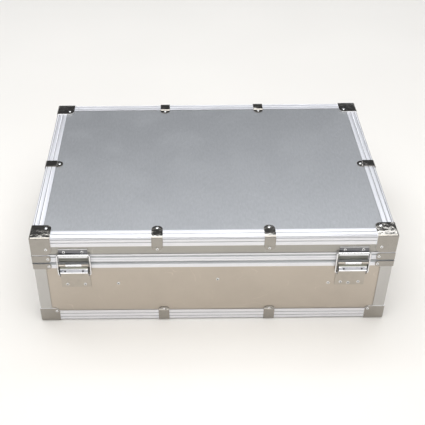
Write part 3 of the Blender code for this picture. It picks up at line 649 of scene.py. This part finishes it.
def mark_channels(bm, out_x, out_y, low_z, high_z):
    """Write how deep each corner of a profile lies below its outer faces, from 0 to 1."""
    layer = bm.verts.layers.float.new("channel")
    for vert in bm.verts:
        depth = min(out_x - abs(vert.co.x), out_y - abs(vert.co.y))
        if low_z is not None:
            depth = min(depth, vert.co.z - low_z)
        if high_z is not None:
            depth = min(depth, high_z - vert.co.z)
        vert[layer] = min(1.0, max(0.0, (depth - CHANNEL_FROM) / CHANNEL_OVER))


def profile(node_name, material, low_z=None, high_z=None):
    """Finished copy of a ribbed frame, with its outer face's height where it has one."""
    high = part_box(node_name)[1]
    bm = merged(node_name)
    mark_channels(bm, high.x, high.y, low_z, high_z)
    piece = object_from(f"{node_name}_finished", bm, material)
    soften(piece, 0.0, angle=34)
    settle(piece, BODY_OF[node_name], "edge_profile", node_name)


def lay_sheet(name, material):
    """Give a packed board its finish."""
    mesh = NODES[name].data
    mesh.materials.clear()
    mesh.materials.append(material)


def shell():
    """Boards, profiles, rims and posts."""
    lay_sheet("lid_top_panel", TOP_SHEET)
    lay_sheet("base_bottom_panel", TOP_SHEET)
    for side in ("front", "back", "left", "right"):
        lay_sheet(f"lid_{side}_panel", LID_SIDE_SHEET_SHADED)
        lay_sheet(f"base_{side}_panel", SIDE_SHEET)
    profile("lid_edge_frame", PROFILE, high_z=plane("lid_edge_frame", 2, True))
    profile("base_edge_frame", PROFILE, low_z=plane("base_edge_frame", 2, False))
    profile("lid_rim", RIM_PROFILE)
    profile("base_rim", RIM_PROFILE)
    for corner, _, _ in CORNERS:
        bm = merged(f"base_post_{corner}")
        bm.verts.layers.float.new("channel")
        post = object_from(f"base_post_{corner}_finished", bm, POST)
        soften(post, POST_ROUND, segments=1)
        settle(post, "base", "edge_profile", f"base_post_{corner}")


def corner_cap(name, side_x, side_y, top):
    """Thin pressed cap of one corner, with well rounded bends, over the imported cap's outline."""
    low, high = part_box(name)
    corner = Vector(
        (high.x if side_x > 0 else low.x, high.y if side_y > 0 else low.y, high.z if top else low.z)
    )
    middle = (low + high) / 2
    far = low + high - corner
    bm = bmesh.new()
    verts = bmesh.ops.create_cube(bm, size=1.0)["verts"]
    bmesh.ops.scale(bm, vec=high - low, verts=verts)
    bmesh.ops.translate(bm, vec=middle, verts=verts)
    for point, bend in ((far, CAP_TAB_ROUND), (corner, CAP_BEND)):
        edges = [e for e in bm.edges if any((v.co - point).length < GAP for v in e.verts)]
        bmesh.ops.bevel(bm, geom=edges, offset=bend, segments=6, profile=0.5, affect="EDGES")
    inner = [f for f in bm.faces if min(abs(d) for d in f.calc_center_median() - corner) > CAP_BEND]
    bmesh.ops.delete(bm, geom=inner, context="FACES")
    bmesh.ops.recalc_face_normals(bm, faces=bm.faces)
    if sum(f.normal.dot(f.calc_center_median() - middle) * f.calc_area() for f in bm.faces) < 0:
        bmesh.ops.reverse_faces(bm, faces=bm.faces)
    piece = object_from(f"{name}_finished", bm, CORNER_STEEL)
    wall = piece.modifiers.new("sheet", "SOLIDIFY")
    wall.thickness = CASE_Y - FACE_Y - GAP  # turned in at its edge, down to the boards
    wall.offset = -1.0
    # The sheet's rim faces get the painted highlight material
    wall.material_offset_rim = 1
    soften(piece, SHEET_ROUND)
    settle(piece, BODY_OF[name], "corner_steel", name)


def steel_corners():
    """Corner caps, rim brackets and edge clips."""
    for corner, side_x, side_y in CORNERS:
        for half in ("lid", "base"):
            corner_cap(f"{half}_cap_{corner}", side_x, side_y, half == "lid")
            refined(f"{half}_bracket_{corner}", CORNER_STEEL, "corner_steel", SHEET_ROUND)
    for name in NODES:
        if "_clip_" in name:
            refined(name, CORNER_STEEL, "corner_steel", SHEET_ROUND)


def rounded_path(corners, bends, steps=8):
    """Points through the corners, with a quarter turn of its own radius at each inner one."""
    path = [Vector(corners[0])]
    for before, corner, after, bend in zip(corners, corners[1:], corners[2:], bends):
        start = Vector(corner) + (Vector(before) - Vector(corner)).normalized() * bend
        end = Vector(corner) + (Vector(after) - Vector(corner)).normalized() * bend
        centre = start + end - Vector(corner)
        for i in range(steps + 1):
            angle = math.pi / 2 * i / steps
            path.append(centre + (start - centre) * math.cos(angle) + (end - centre) * math.sin(angle))
    path.append(Vector(corners[-1]))
    return path


def round_wire(name, path, radius, material):
    """Round wire along a path, as a closed mesh."""
    curve = bpy.data.curves.new(name, "CURVE")
    curve.dimensions = "3D"
    curve.bevel_depth = radius
    curve.bevel_resolution = 4
    curve.use_fill_caps = True
    spline = curve.splines.new("POLY")
    spline.points.add(len(path) - 1)
    for target, point in zip(spline.points, path):
        target.co = (*point, 1.0)
    drawn = bpy.data.objects.new(name, curve)
    bpy.context.scene.collection.objects.link(drawn)
    graph = bpy.context.evaluated_depsgraph_get()
    mesh = bpy.data.meshes.new_from_object(drawn.evaluated_get(graph))
    bm = bmesh.new()
    bm.from_mesh(mesh)
    bmesh.ops.remove_doubles(bm, verts=bm.verts, dist=WELD)
    bmesh.ops.recalc_face_normals(bm, faces=bm.faces)
    bpy.data.objects.remove(drawn)
    bpy.data.meshes.remove(mesh)
    made = object_from(name, bm, material)
    soften(made, 0.0, angle=50)
    return made


def latches():
    """Strike, plate, lever and wire of each draw latch."""
    for side, _ in SIDES:
        refined(f"{side}_strike", STRIKE_STEEL, "latch_steel", SHEET_ROUND, FITTING_ANGLE)
        refined(f"{side}_latch_plate", PLATE_STEEL, "latch_steel", SHEET_ROUND, FITTING_ANGLE)
        refined(f"{side}_lever", LEVER_STEEL, "latch_steel", LEVER_ROUND, FITTING_ANGLE)
        latch_wire(side)


def latch_wire(side):
    """Wire loop of a draw latch, from the lever's ears over the strike."""
    low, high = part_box(f"{side}_bail")
    middle = (low.x + high.x) / 2
    arm = (high.x - low.x) / 2 - WIRE
    stub = arm - WIRE_STUB
    foot = (low.y + WIRE, low.z + WIRE)
    top = (high.y - WIRE, high.z - WIRE)
    corners = [(middle - stub, *foot), (middle - arm, *foot), (middle - arm, *top)]
    corners += [(middle + arm, *top), (middle + arm, *foot), (middle + stub, *foot)]
    tight = WIRE + 2 * GAP
    path = rounded_path(corners, (tight, 2 * WIRE, 2 * WIRE, tight))
    piece = round_wire(f"{side}_bail_finished", path, WIRE, LATCH_STEEL)
    settle(piece, f"{side}_bail", "latch_steel", f"{side}_bail")


def hinges():
    """Both leaves of each lid hinge."""
    for side, _ in SIDES:
        for leaf in ("base", "lid"):
            name = f"{side}_hinge_{leaf}_leaf"
            refined(name, FITTING_STEEL, "fitting_steel", SHEET_ROUND, FITTING_ANGLE)


def grip_radius(share, radius):
    """Radius of the grip at a share of its half length."""
    swell = radius * (1 - GRIP_SWELL + GRIP_SWELL * math.cos(share * math.pi / 2))
    rib = 0.0
    if abs(share) < GRIP_RIBBED:
        rib = GRIP_RIB * max(0.0, math.cos(share * GRIP_HALF / GRIP_RIB_PITCH * 2 * math.pi))
    past = max(0.0, (abs(share) - GRIP_END) / (1 - GRIP_END))
    return (swell - GRIP_RIB + rib) * math.sqrt(max(0.0, 1 - past ** 2 * 0.6))


def grip(name, middle, radius):
    """Moulded grip along Y: swollen middle, ring ribs and rounded ends."""
    x, y, z = middle
    rings, sides = 96, 32
    bm = bmesh.new()
    loops = []
    for i in range(rings + 1):
        share = 2 * i / rings - 1
        out = grip_radius(share, radius)
        loop = []
        for k in range(sides):
            angle = 2 * math.pi * k / sides
            point = (x + out * math.cos(angle), y + share * GRIP_HALF, z + out * math.sin(angle))
            loop.append(bm.verts.new(point))
        loops.append(loop)
    for here, there in zip(loops, loops[1:]):
        for k in range(sides):
            bm.faces.new((here[k], here[(k + 1) % sides], there[(k + 1) % sides], there[k]))
    bm.faces.new(loops[0])
    bm.faces.new(loops[-1])
    bmesh.ops.recalc_face_normals(bm, faces=bm.faces)
    made = object_from(name, bm, RUBBER)
    soften(made, 0.0, angle=50)
    return made


def handles():
    """Drop handle of each short side: plate, bent rod and grip."""
    for side, _ in SIDES:
        name = f"{side}_handle_plate"
        refined(name, FITTING_STEEL, "fitting_steel", HANDLE_ROUND, FITTING_ANGLE)
        low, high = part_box(f"{side}_handle")
        x = (low.x + high.x) / 2
        radius = (high.x - low.x) / 2
        arm = high.y - ROD
        top, bottom = high.z - ROD, low.z + radius
        stub = arm - ROD_STUB
        corners = [(x, -stub, top), (x, -arm, top), (x, -arm, bottom)]
        corners += [(x, arm, bottom), (x, arm, top), (x, stub, top)]
        tight = ROD + 2 * GAP
        path = rounded_path(corners, (tight, 2.5 * ROD, 2.5 * ROD, tight))
        rod = round_wire(f"{side}_handle_rod", path, ROD, FITTING_STEEL)
        settle(rod, f"{side}_handle", "fitting_steel", f"{side}_handle")
        held = grip(f"{side}_handle_grip", (x, 0.0, bottom), radius)
        settle(held, f"{side}_handle", None)


def foam_sheet_mesh(bm, low, high):
    """Add one sheet of foam with soft edges, its faces cut into even parts."""
    verts = bmesh.ops.create_cube(bm, size=1.0)["verts"]
    low, high = Vector(low), Vector(high)
    bmesh.ops.scale(bm, vec=high - low, verts=verts)
    bmesh.ops.translate(bm, vec=(low + high) / 2, verts=verts)
    edges = {edge for vert in verts for edge in vert.link_edges}
    bevelled = bmesh.ops.bevel(
        bm, geom=list(edges), offset=FOAM_ROUND, segments=3, profile=0.5, affect="EDGES"
    )
    verts = {vert for face in bevelled["faces"] for vert in face.verts}
    faces = {face for vert in verts for face in vert.link_faces}
    for axis in range(3):
        cuts = int((high[axis] - low[axis]) / FOAM_PITCH)
        for i in range(1, cuts + 1):
            place = low.copy()
            place[axis] = low[axis] + (high[axis] - low[axis]) * i / (cuts + 1)
            normal = Vector((0, 0, 0))
            normal[axis] = 1.0
            edges = {edge for face in faces for edge in face.edges}
            verts = {vert for face in faces for vert in face.verts}
            geom = [*faces, *edges, *verts]
            cut = bmesh.ops.bisect_plane(bm, geom=geom, plane_co=place, plane_no=normal)
            faces = {g for g in cut["geom"] if isinstance(g, bmesh.types.BMFace)}


def linings():
    """Foam sheets glued inside each half: one on the closed face and one on each wall."""
    for half in ("base", "lid"):
        low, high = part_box(f"{half}_lining")
        t, g = FOAM_THICK, GAP
        bm = bmesh.new()
        floor_low, floor_high = (low.z, low.z + t) if half == "base" else (high.z - t, high.z)
        wall_low = floor_high + g if half == "base" else low.z
        wall_high = high.z if half == "base" else floor_low - g
        foam_sheet_mesh(bm, (low.x, low.y, floor_low), (high.x, high.y, floor_high))
        for y in (low.y, high.y - t):
            foam_sheet_mesh(bm, (low.x, y, wall_low), (high.x, y + t, wall_high))
        for x in (low.x, high.x - t):
            foam_sheet_mesh(bm, (x, low.y + t + g, wall_low), (x + t, high.y - t - g, wall_high))
        foam = object_from(f"{half}_foam", bm, FOAM)
        soften(foam, 0.0, angle=50)
        settle(foam, half, "foam_lining", f"{half}_lining")


def spare_clips():
    """Clips of the base's other walls: a front one turned round the case, and moved along the wall."""
    middle = sum(plane("base_clip_front_left", 0, high) for high in (False, True)) / 2
    offset = CASE_X - CASE_Y
    moves = (
        (math.pi, BACK_CLIPS_X[0] + middle, 0),
        (math.pi, BACK_CLIPS_X[1] + middle, 0),
        (-math.pi / 2, -offset, SIDE_CLIPS_Y[0] + middle),
        (math.pi / 2, offset, SIDE_CLIPS_Y[1] - middle),
    )
    for name, (angle, x, y) in zip(SPARE_CLIPS, moves):
        bm = merged("base_clip_front_left")
        mark_sheet_edges(bm)
        bmesh.ops.rotate(bm, matrix=Matrix.Rotation(angle, 3, "Z"), verts=bm.verts)
        bmesh.ops.translate(bm, vec=(x, y, 0), verts=bm.verts)
        clip = object_from(f"base_clip_{name}", bm, CORNER_STEEL)
        soften(clip, SHEET_ROUND)
        settle(clip, "base", "corner_steel")


# Rivets

def rivet_tree():
    """Geometry nodes: a blind rivet's round head on every point, turned to the point's own facing."""
    tree = bpy.data.node_groups.new("rivet_heads", "GeometryNodeTree")
    sockets = (
        ("Places", "NodeSocketGeometry", None),
        ("Head Radius", "NodeSocketFloat", 3.0 * MM),
        ("Head Height", "NodeSocketFloat", 1.0 * MM),
        ("Hollow Radius", "NodeSocketFloat", 1.0 * MM),
        ("Hollow Depth", "NodeSocketFloat", 0.6 * MM),
        ("Tilt", "NodeSocketFloat", 0.03),
        ("Seed", "NodeSocketInt", 1),
        ("Sides", "NodeSocketInt", 14),
        ("Rings", "NodeSocketInt", 9),
        ("Finish", "NodeSocketMaterial", None),
    )
    for label, kind, value in sockets:
        socket = tree.interface.new_socket(label, in_out="INPUT", socket_type=kind)
        if value is not None:
            socket.default_value = value
    tree.interface.new_socket("Rivets", in_out="OUTPUT", socket_type="NodeSocketGeometry")
    given = tree.nodes.new("NodeGroupInput").outputs
    end = tree.nodes.new("NodeGroupOutput").inputs

    columns = maths(tree, "ADD", given["Sides"], 1.0)
    grid = node(
        tree, "GeometryNodeMeshGrid",
        {"Size X": 1.0, "Size Y": 1.0, "Vertices X": columns, "Vertices Y": given["Rings"]},
    ).outputs["Mesh"]
    position = tree.nodes.new("GeometryNodeInputPosition").outputs[0]
    at = node(tree, "ShaderNodeSeparateXYZ", {0: position}).outputs
    turn = maths(tree, "MULTIPLY", at["X"], 2 * math.pi)
    along = maths(tree, "ADD", at["Y"], 0.5)
    ring = maths(tree, "DIVIDE", 1.0, maths(tree, "SUBTRACT", given["Rings"], 1.0))
    under = maths(tree, "DIVIDE", along, ring, clamp=True)
    past = maths(tree, "SUBTRACT", along, ring)
    over = maths(tree, "DIVIDE", past, maths(tree, "SUBTRACT", 1.0, ring), clamp=True)
    lean = maths(tree, "MULTIPLY", over, math.pi / 2)
    share = maths(tree, "MULTIPLY", maths(tree, "COSINE", lean), under)
    out = maths(tree, "MULTIPLY", share, given["Head Radius"])
    dome = maths(tree, "MULTIPLY", maths(tree, "SINE", lean), given["Head Height"])
    edge = maths(tree, "MULTIPLY", given["Hollow Radius"], 1.3)
    inner = maths(tree, "MULTIPLY", given["Hollow Radius"], 0.7)
    hollow = ramp(tree, out, inner, edge, 1.0, 0.0)
    hollow = maths(tree, "MULTIPLY", hollow, maths(tree, "GREATER_THAN", over, 0.01))
    sunk = maths(tree, "SUBTRACT", dome, maths(tree, "MULTIPLY", hollow, given["Hollow Depth"]))
    place = node(
        tree, "ShaderNodeCombineXYZ",
        {
            "X": maths(tree, "MULTIPLY", out, maths(tree, "COSINE", turn)),
            "Y": maths(tree, "MULTIPLY", out, maths(tree, "SINE", turn)),
            "Z": sunk,
        },
    ).outputs[0]
    # The hollow mask also places the painted shade in the rivet's material
    marked = node(
        tree, "GeometryNodeStoreNamedAttribute", {"Geometry": grid, "Name": "hollow", "Value": hollow},
        data_type="FLOAT", domain="POINT",
    ).outputs[0]
    shaped = node(tree, "GeometryNodeSetPosition", {"Geometry": marked, "Position": place}).outputs[0]
    closed = node(
        tree, "GeometryNodeMergeByDistance", {"Geometry": shaped, "Distance": 0.01 * MM}
    ).outputs[0]

    facing = node(
        tree, "GeometryNodeInputNamedAttribute", {"Name": "facing"}, data_type="FLOAT_VECTOR"
    ).outputs[0]
    spread = node(tree, "FunctionNodeRandomValue", {"Seed": given["Seed"]}, data_type="FLOAT_VECTOR")
    spread.inputs[0].default_value = (-1.0, -1.0, -1.0)
    spread.inputs[1].default_value = (1.0, 1.0, 1.0)
    aim = vector_maths(tree, "ADD", facing, times(tree, spread.outputs[0], given["Tilt"]))
    turned = node(tree, "FunctionNodeAlignRotationToVector", {"Vector": aim}, axis="Z").outputs[0]
    heads = node(
        tree, "GeometryNodeInstanceOnPoints",
        {"Points": given["Places"], "Instance": closed, "Rotation": turned},
    ).outputs[0]
    real = node(tree, "GeometryNodeRealizeInstances", {"Geometry": heads}).outputs[0]
    smooth = node(tree, "GeometryNodeSetShadeSmooth", {"Geometry": real}).outputs[0]
    finished = node(
        tree, "GeometryNodeSetMaterial", {"Geometry": smooth, "Material": given["Finish"]}
    ).outputs[0]
    tree.links.new(finished, end["Rivets"])
    return tree


RIVETS = rivet_tree()


def rivet_row(name, body, places, slot, **sizes):
    """Rivet heads at (point, facing) places, as one plain mesh on one body."""
    mesh = bpy.data.meshes.new(name)
    mesh.from_pydata([point for point, _ in places], [], [])
    layer = mesh.attributes.new("facing", "FLOAT_VECTOR", "POINT")
    for target, (_, facing) in zip(layer.data, places):
        target.vector = facing
    made = bpy.data.objects.new(name, mesh)
    bpy.context.scene.collection.objects.link(made)
    heads = made.modifiers.new("rivet heads", "NODES")
    heads.node_group = RIVETS
    settings = {key.replace("_", " ").title(): value for key, value in sizes.items()}
    settings["Finish"] = RIVET_STEEL
    for item in RIVETS.interface.items_tree:
        if item.item_type == "SOCKET" and item.in_out == "INPUT" and item.name in settings:
            heads[item.identifier] = settings[item.name]
    graph = bpy.context.evaluated_depsgraph_get()
    result = bpy.data.meshes.new_from_object(made.evaluated_get(graph))
    made.modifiers.remove(heads)
    made.data = result
    settle(made, body, slot)


def cap_rivets(half):
    """One rivet in each face of a corner cap and in each arm of a corner bracket."""
    top = half == "lid"
    cap_z = CASE_TOP - LID_CAP_RIVET_DOWN if top else BASE_CAP_RIVET_UP
    cap_in = CAP_RIVET_IN if top else BASE_CAP_RIVET_IN
    bracket_z = LID_BRACKET_RIVET_Z if top else BASE_BRACKET_RIVET_Z
    places = []
    for _, x, y in CORNERS:
        for z, inward in ((cap_z, cap_in), (bracket_z, BRACKET_RIVET_IN)):
            places.append(((x * (CASE_X - inward), y * CASE_Y, z), (0, y, 0)))
            places.append(((x * CASE_X, y * (CASE_Y - inward), z), (x, 0, 0)))
        if top:
            point = (x * (CASE_X - CAP_RIVET_IN), y * (CASE_Y - CAP_RIVET_IN), CASE_TOP)
            places.append((point, (0, 0, 1)))
    return places


def clip_rivets(half):
    """One rivet in each clip's tab on the wall, and for the lid one more in its tab on the top."""
    top = half == "lid"
    clips = [name for name in NODES if name.startswith(f"{half}_clip_")]
    if not top:
        clips += [f"base_clip_{place}" for place in SPARE_CLIPS]
    height = CASE_TOP - CLIP_RIVET_IN if top else BASE_CLIP_RIVET_UP
    on_face = FACE_TOP + GAP + SHEET
    places = []
    for name in clips:
        if name in NODES:
            low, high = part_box(name)
        else:
            corners = [Vector(corner) for corner in bpy.data.objects[name].bound_box]
            low, high = corners[0], corners[6]
        middle = (low + high) / 2
        side_x = 0 if "front" in name or "back" in name else (1 if middle.x > 0 else -1)
        side_y = 0 if side_x else (1 if middle.y > 0 else -1)
        wall = FACE_X if side_x else FACE_Y
        out = wall + GAP + SHEET
        x = side_x * out if side_x else middle.x
        y = side_y * out if side_y else middle.y
        places.append(((x, y, height), (side_x, side_y, 0)))
        if top:
            inner_x = side_x * (CASE_X - CLIP_RIVET_IN) if side_x else middle.x
            inner_y = side_y * (CASE_Y - CLIP_RIVET_IN) if side_y else middle.y
            places.append(((inner_x, inner_y, on_face), (0, 0, 1)))
    return places


def pairs(x_middle, across, z, y, facing):
    """Two rivets, one on each side of a fitting's middle."""
    return [((x_middle + side * across, y, z), facing) for side in (-1, 1)]


def rivets():
    """All rivet heads, and the discs of painted shade in the holes of the levers."""
    for half in ("lid", "base"):
        rivet_row(f"{half}_cap_rivets", half, cap_rivets(half), "corner_steel", **CAP_HEAD)
        rivet_row(f"{half}_clip_rivets", half, clip_rivets(half), "corner_steel", **CLIP_HEAD)
    on_plate = FACE_Y + GAP + PLATE
    on_lid, on_base = [], []
    for side, sign in SIDES:
        low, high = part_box(f"{side}_strike")
        middle = (low.x + high.x) / 2
        on_lid += pairs(middle, STRIKE_RIVET[0], STRIKE_RIVET[1], -on_plate, (0, -1, 0))
        on_base += pairs(middle, LATCH_PLATE_RIVET[0], LATCH_PLATE_RIVET[1], -on_plate, (0, -1, 0))
        low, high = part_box(f"{side}_hinge_lid_leaf")
        middle = (low.x + high.x) / 2
        on_lid += pairs(middle, HINGE_RIVET[0], HINGE_RIVET[1], on_plate, (0, 1, 0))
        on_base += pairs(middle, HINGE_RIVET[0], HINGE_RIVET[2], on_plate, (0, 1, 0))
        out = sign * (FACE_X + GAP + HANDLE_SHEET)
        for y in (-HANDLE_RIVET[0], HANDLE_RIVET[0]):
            for z in HANDLE_RIVET[1:]:
                on_base.append(((out, y, z), (sign, 0, 0)))
    on_base += [((x, -FACE_Y, z), (0, -1, 0)) for x, z in PANEL_RIVETS]
    on_base.append(((SPARE_PLATE_RIVET[0], -on_plate, SPARE_PLATE_RIVET[1]), (0, -1, 0)))
    rivet_row("lid_fitting_rivets", "lid", on_lid, "latch_steel", **FITTING_HEAD)
    rivet_row("base_fitting_rivets", "base", on_base, "latch_steel", **FITTING_HEAD)
    # Discs of painted shade in the two holes of each lever's lip
    across, y, z = LIP_HOLE
    for side, sign in SIDES:
        places = pairs(sign * LATCH_MIDDLE, across, z, y, LIP_FACING)
        rivet_row(f"{side}_lever_hole_shade", f"{side}_lever", places, "latch_steel", **LIP_HOLE_SHADE)


shell()
steel_corners()
latches()
hinges()
handles()
linings()
spare_clips()
rivets()


# Studio

CAMERA_PLACE = (-0.05337, -1.28393, 1.09497)
CAMERA_TURN = (0.2955, 38.312, -0.7055)  # azimuth, elevation and roll in degrees
CAMERA_LENS = 66.94
CAMERA_SHIFT = 0.0769
FLOOR_SIZE = 40.0

# The floor lightens far out, to meet the horizon without an edge
FLOOR_GLOW_FROM_TO = (1.5, 6.0)
FLOOR_GLOW = 0.62


def camera():
    """Long lens, from the front and above."""
    azimuth, elevation, roll = (math.radians(angle) for angle in CAMERA_TURN)
    flat = math.cos(elevation)
    back = Vector((math.sin(azimuth) * flat, -math.cos(azimuth) * flat, math.sin(elevation)))
    level = Vector((math.cos(azimuth), math.sin(azimuth), 0.0))
    upright = back.cross(level)
    right = level * math.cos(roll) + upright * math.sin(roll)
    up = upright * math.cos(roll) - level * math.sin(roll)
    data = bpy.data.cameras.new("camera")
    data.lens = CAMERA_LENS
    data.sensor_width = 36
    data.shift_x = CAMERA_SHIFT
    data.clip_start = 0.01
    made = bpy.data.objects.new("camera", data)
    turn = Matrix((right, up, back)).transposed().to_4x4()
    made.matrix_world = Matrix.Translation(CAMERA_PLACE) @ turn
    bpy.context.scene.collection.objects.link(made)
    bpy.context.scene.camera = made


def area_light(name, place, aim, size, power, colour):
    """Soft light panel at a place, aimed at a point."""
    data = bpy.data.lights.new(name, "AREA")
    data.shape = "RECTANGLE"
    data.size, data.size_y = size
    data.energy = power
    data.color = colour
    made = bpy.data.objects.new(name, data)
    made.location = place
    made.rotation_euler = (Vector(aim) - Vector(place)).to_track_quat("-Z", "Y").to_euler()
    bpy.context.scene.collection.objects.link(made)


def studio_world():
    """Pale horizon, darker above it and a little lighter overhead, for bright metal to reflect."""
    world = bpy.data.worlds.new("studio")
    world.use_nodes = True
    tree = world.node_tree
    direction = tree.nodes.new("ShaderNodeTexCoord").outputs["Generated"]
    height = node(tree, "ShaderNodeSeparateXYZ", {0: direction}).outputs["Z"]
    low = ramp(tree, height, 0.10, 0.42, 0.85, 0.10)
    high = ramp(tree, height, 0.55, 1.0, 0.0, 0.25)
    background = tree.nodes["Background"]
    tree.links.new(maths(tree, "ADD", low, high), background.inputs["Strength"])
    background.inputs["Color"].default_value = (0.92, 0.95, 1.0, 1.0)
    bpy.context.scene.world = world


def studio():
    """Pale floor, three soft lights and the world around them."""
    bpy.ops.mesh.primitive_plane_add(size=FLOOR_SIZE)
    floor = bpy.context.object
    floor.name = "studio_floor"
    material, tree, shader, place = finish_base("studio_floor", 0.0, 0.9)
    tone = ramp(tree, noise(tree, scaled(tree, place, 0.4), 1.0), 0.3, 0.7, 0.98, 1.0)
    tree.links.new(toned(tree, (0.76, 0.74, 0.71), tone), shader.inputs["Base Color"])
    away = node(tree, "ShaderNodeVectorMath", {0: place}, operation="LENGTH").outputs["Value"]
    glow = ramp(tree, away, *FLOOR_GLOW_FROM_TO, 0.0, FLOOR_GLOW)
    tree.links.new(glow, shader.inputs["Emission Strength"])
    shader.inputs["Emission Color"].default_value = (0.95, 0.96, 1.0, 1.0)
    floor.data.materials.append(material)

    middle = (0, 0, 0.1)
    area_light("overhead", (0.0, -0.6, 2.7), middle, (3.6, 3.2), 96, (1.0, 0.99, 0.97))
    area_light("back_softbox", (-0.3, 1.6, 3.0), middle, (5.0, 0.9), 50, (0.93, 0.96, 1.0))
    area_light("front_fill", (0.0, -3.2, 1.8), middle, (3.0, 1.2), 18, (1.0, 0.98, 0.95))
    studio_world()
    bpy.context.scene.view_settings.view_transform = "Standard"


camera()
studio()
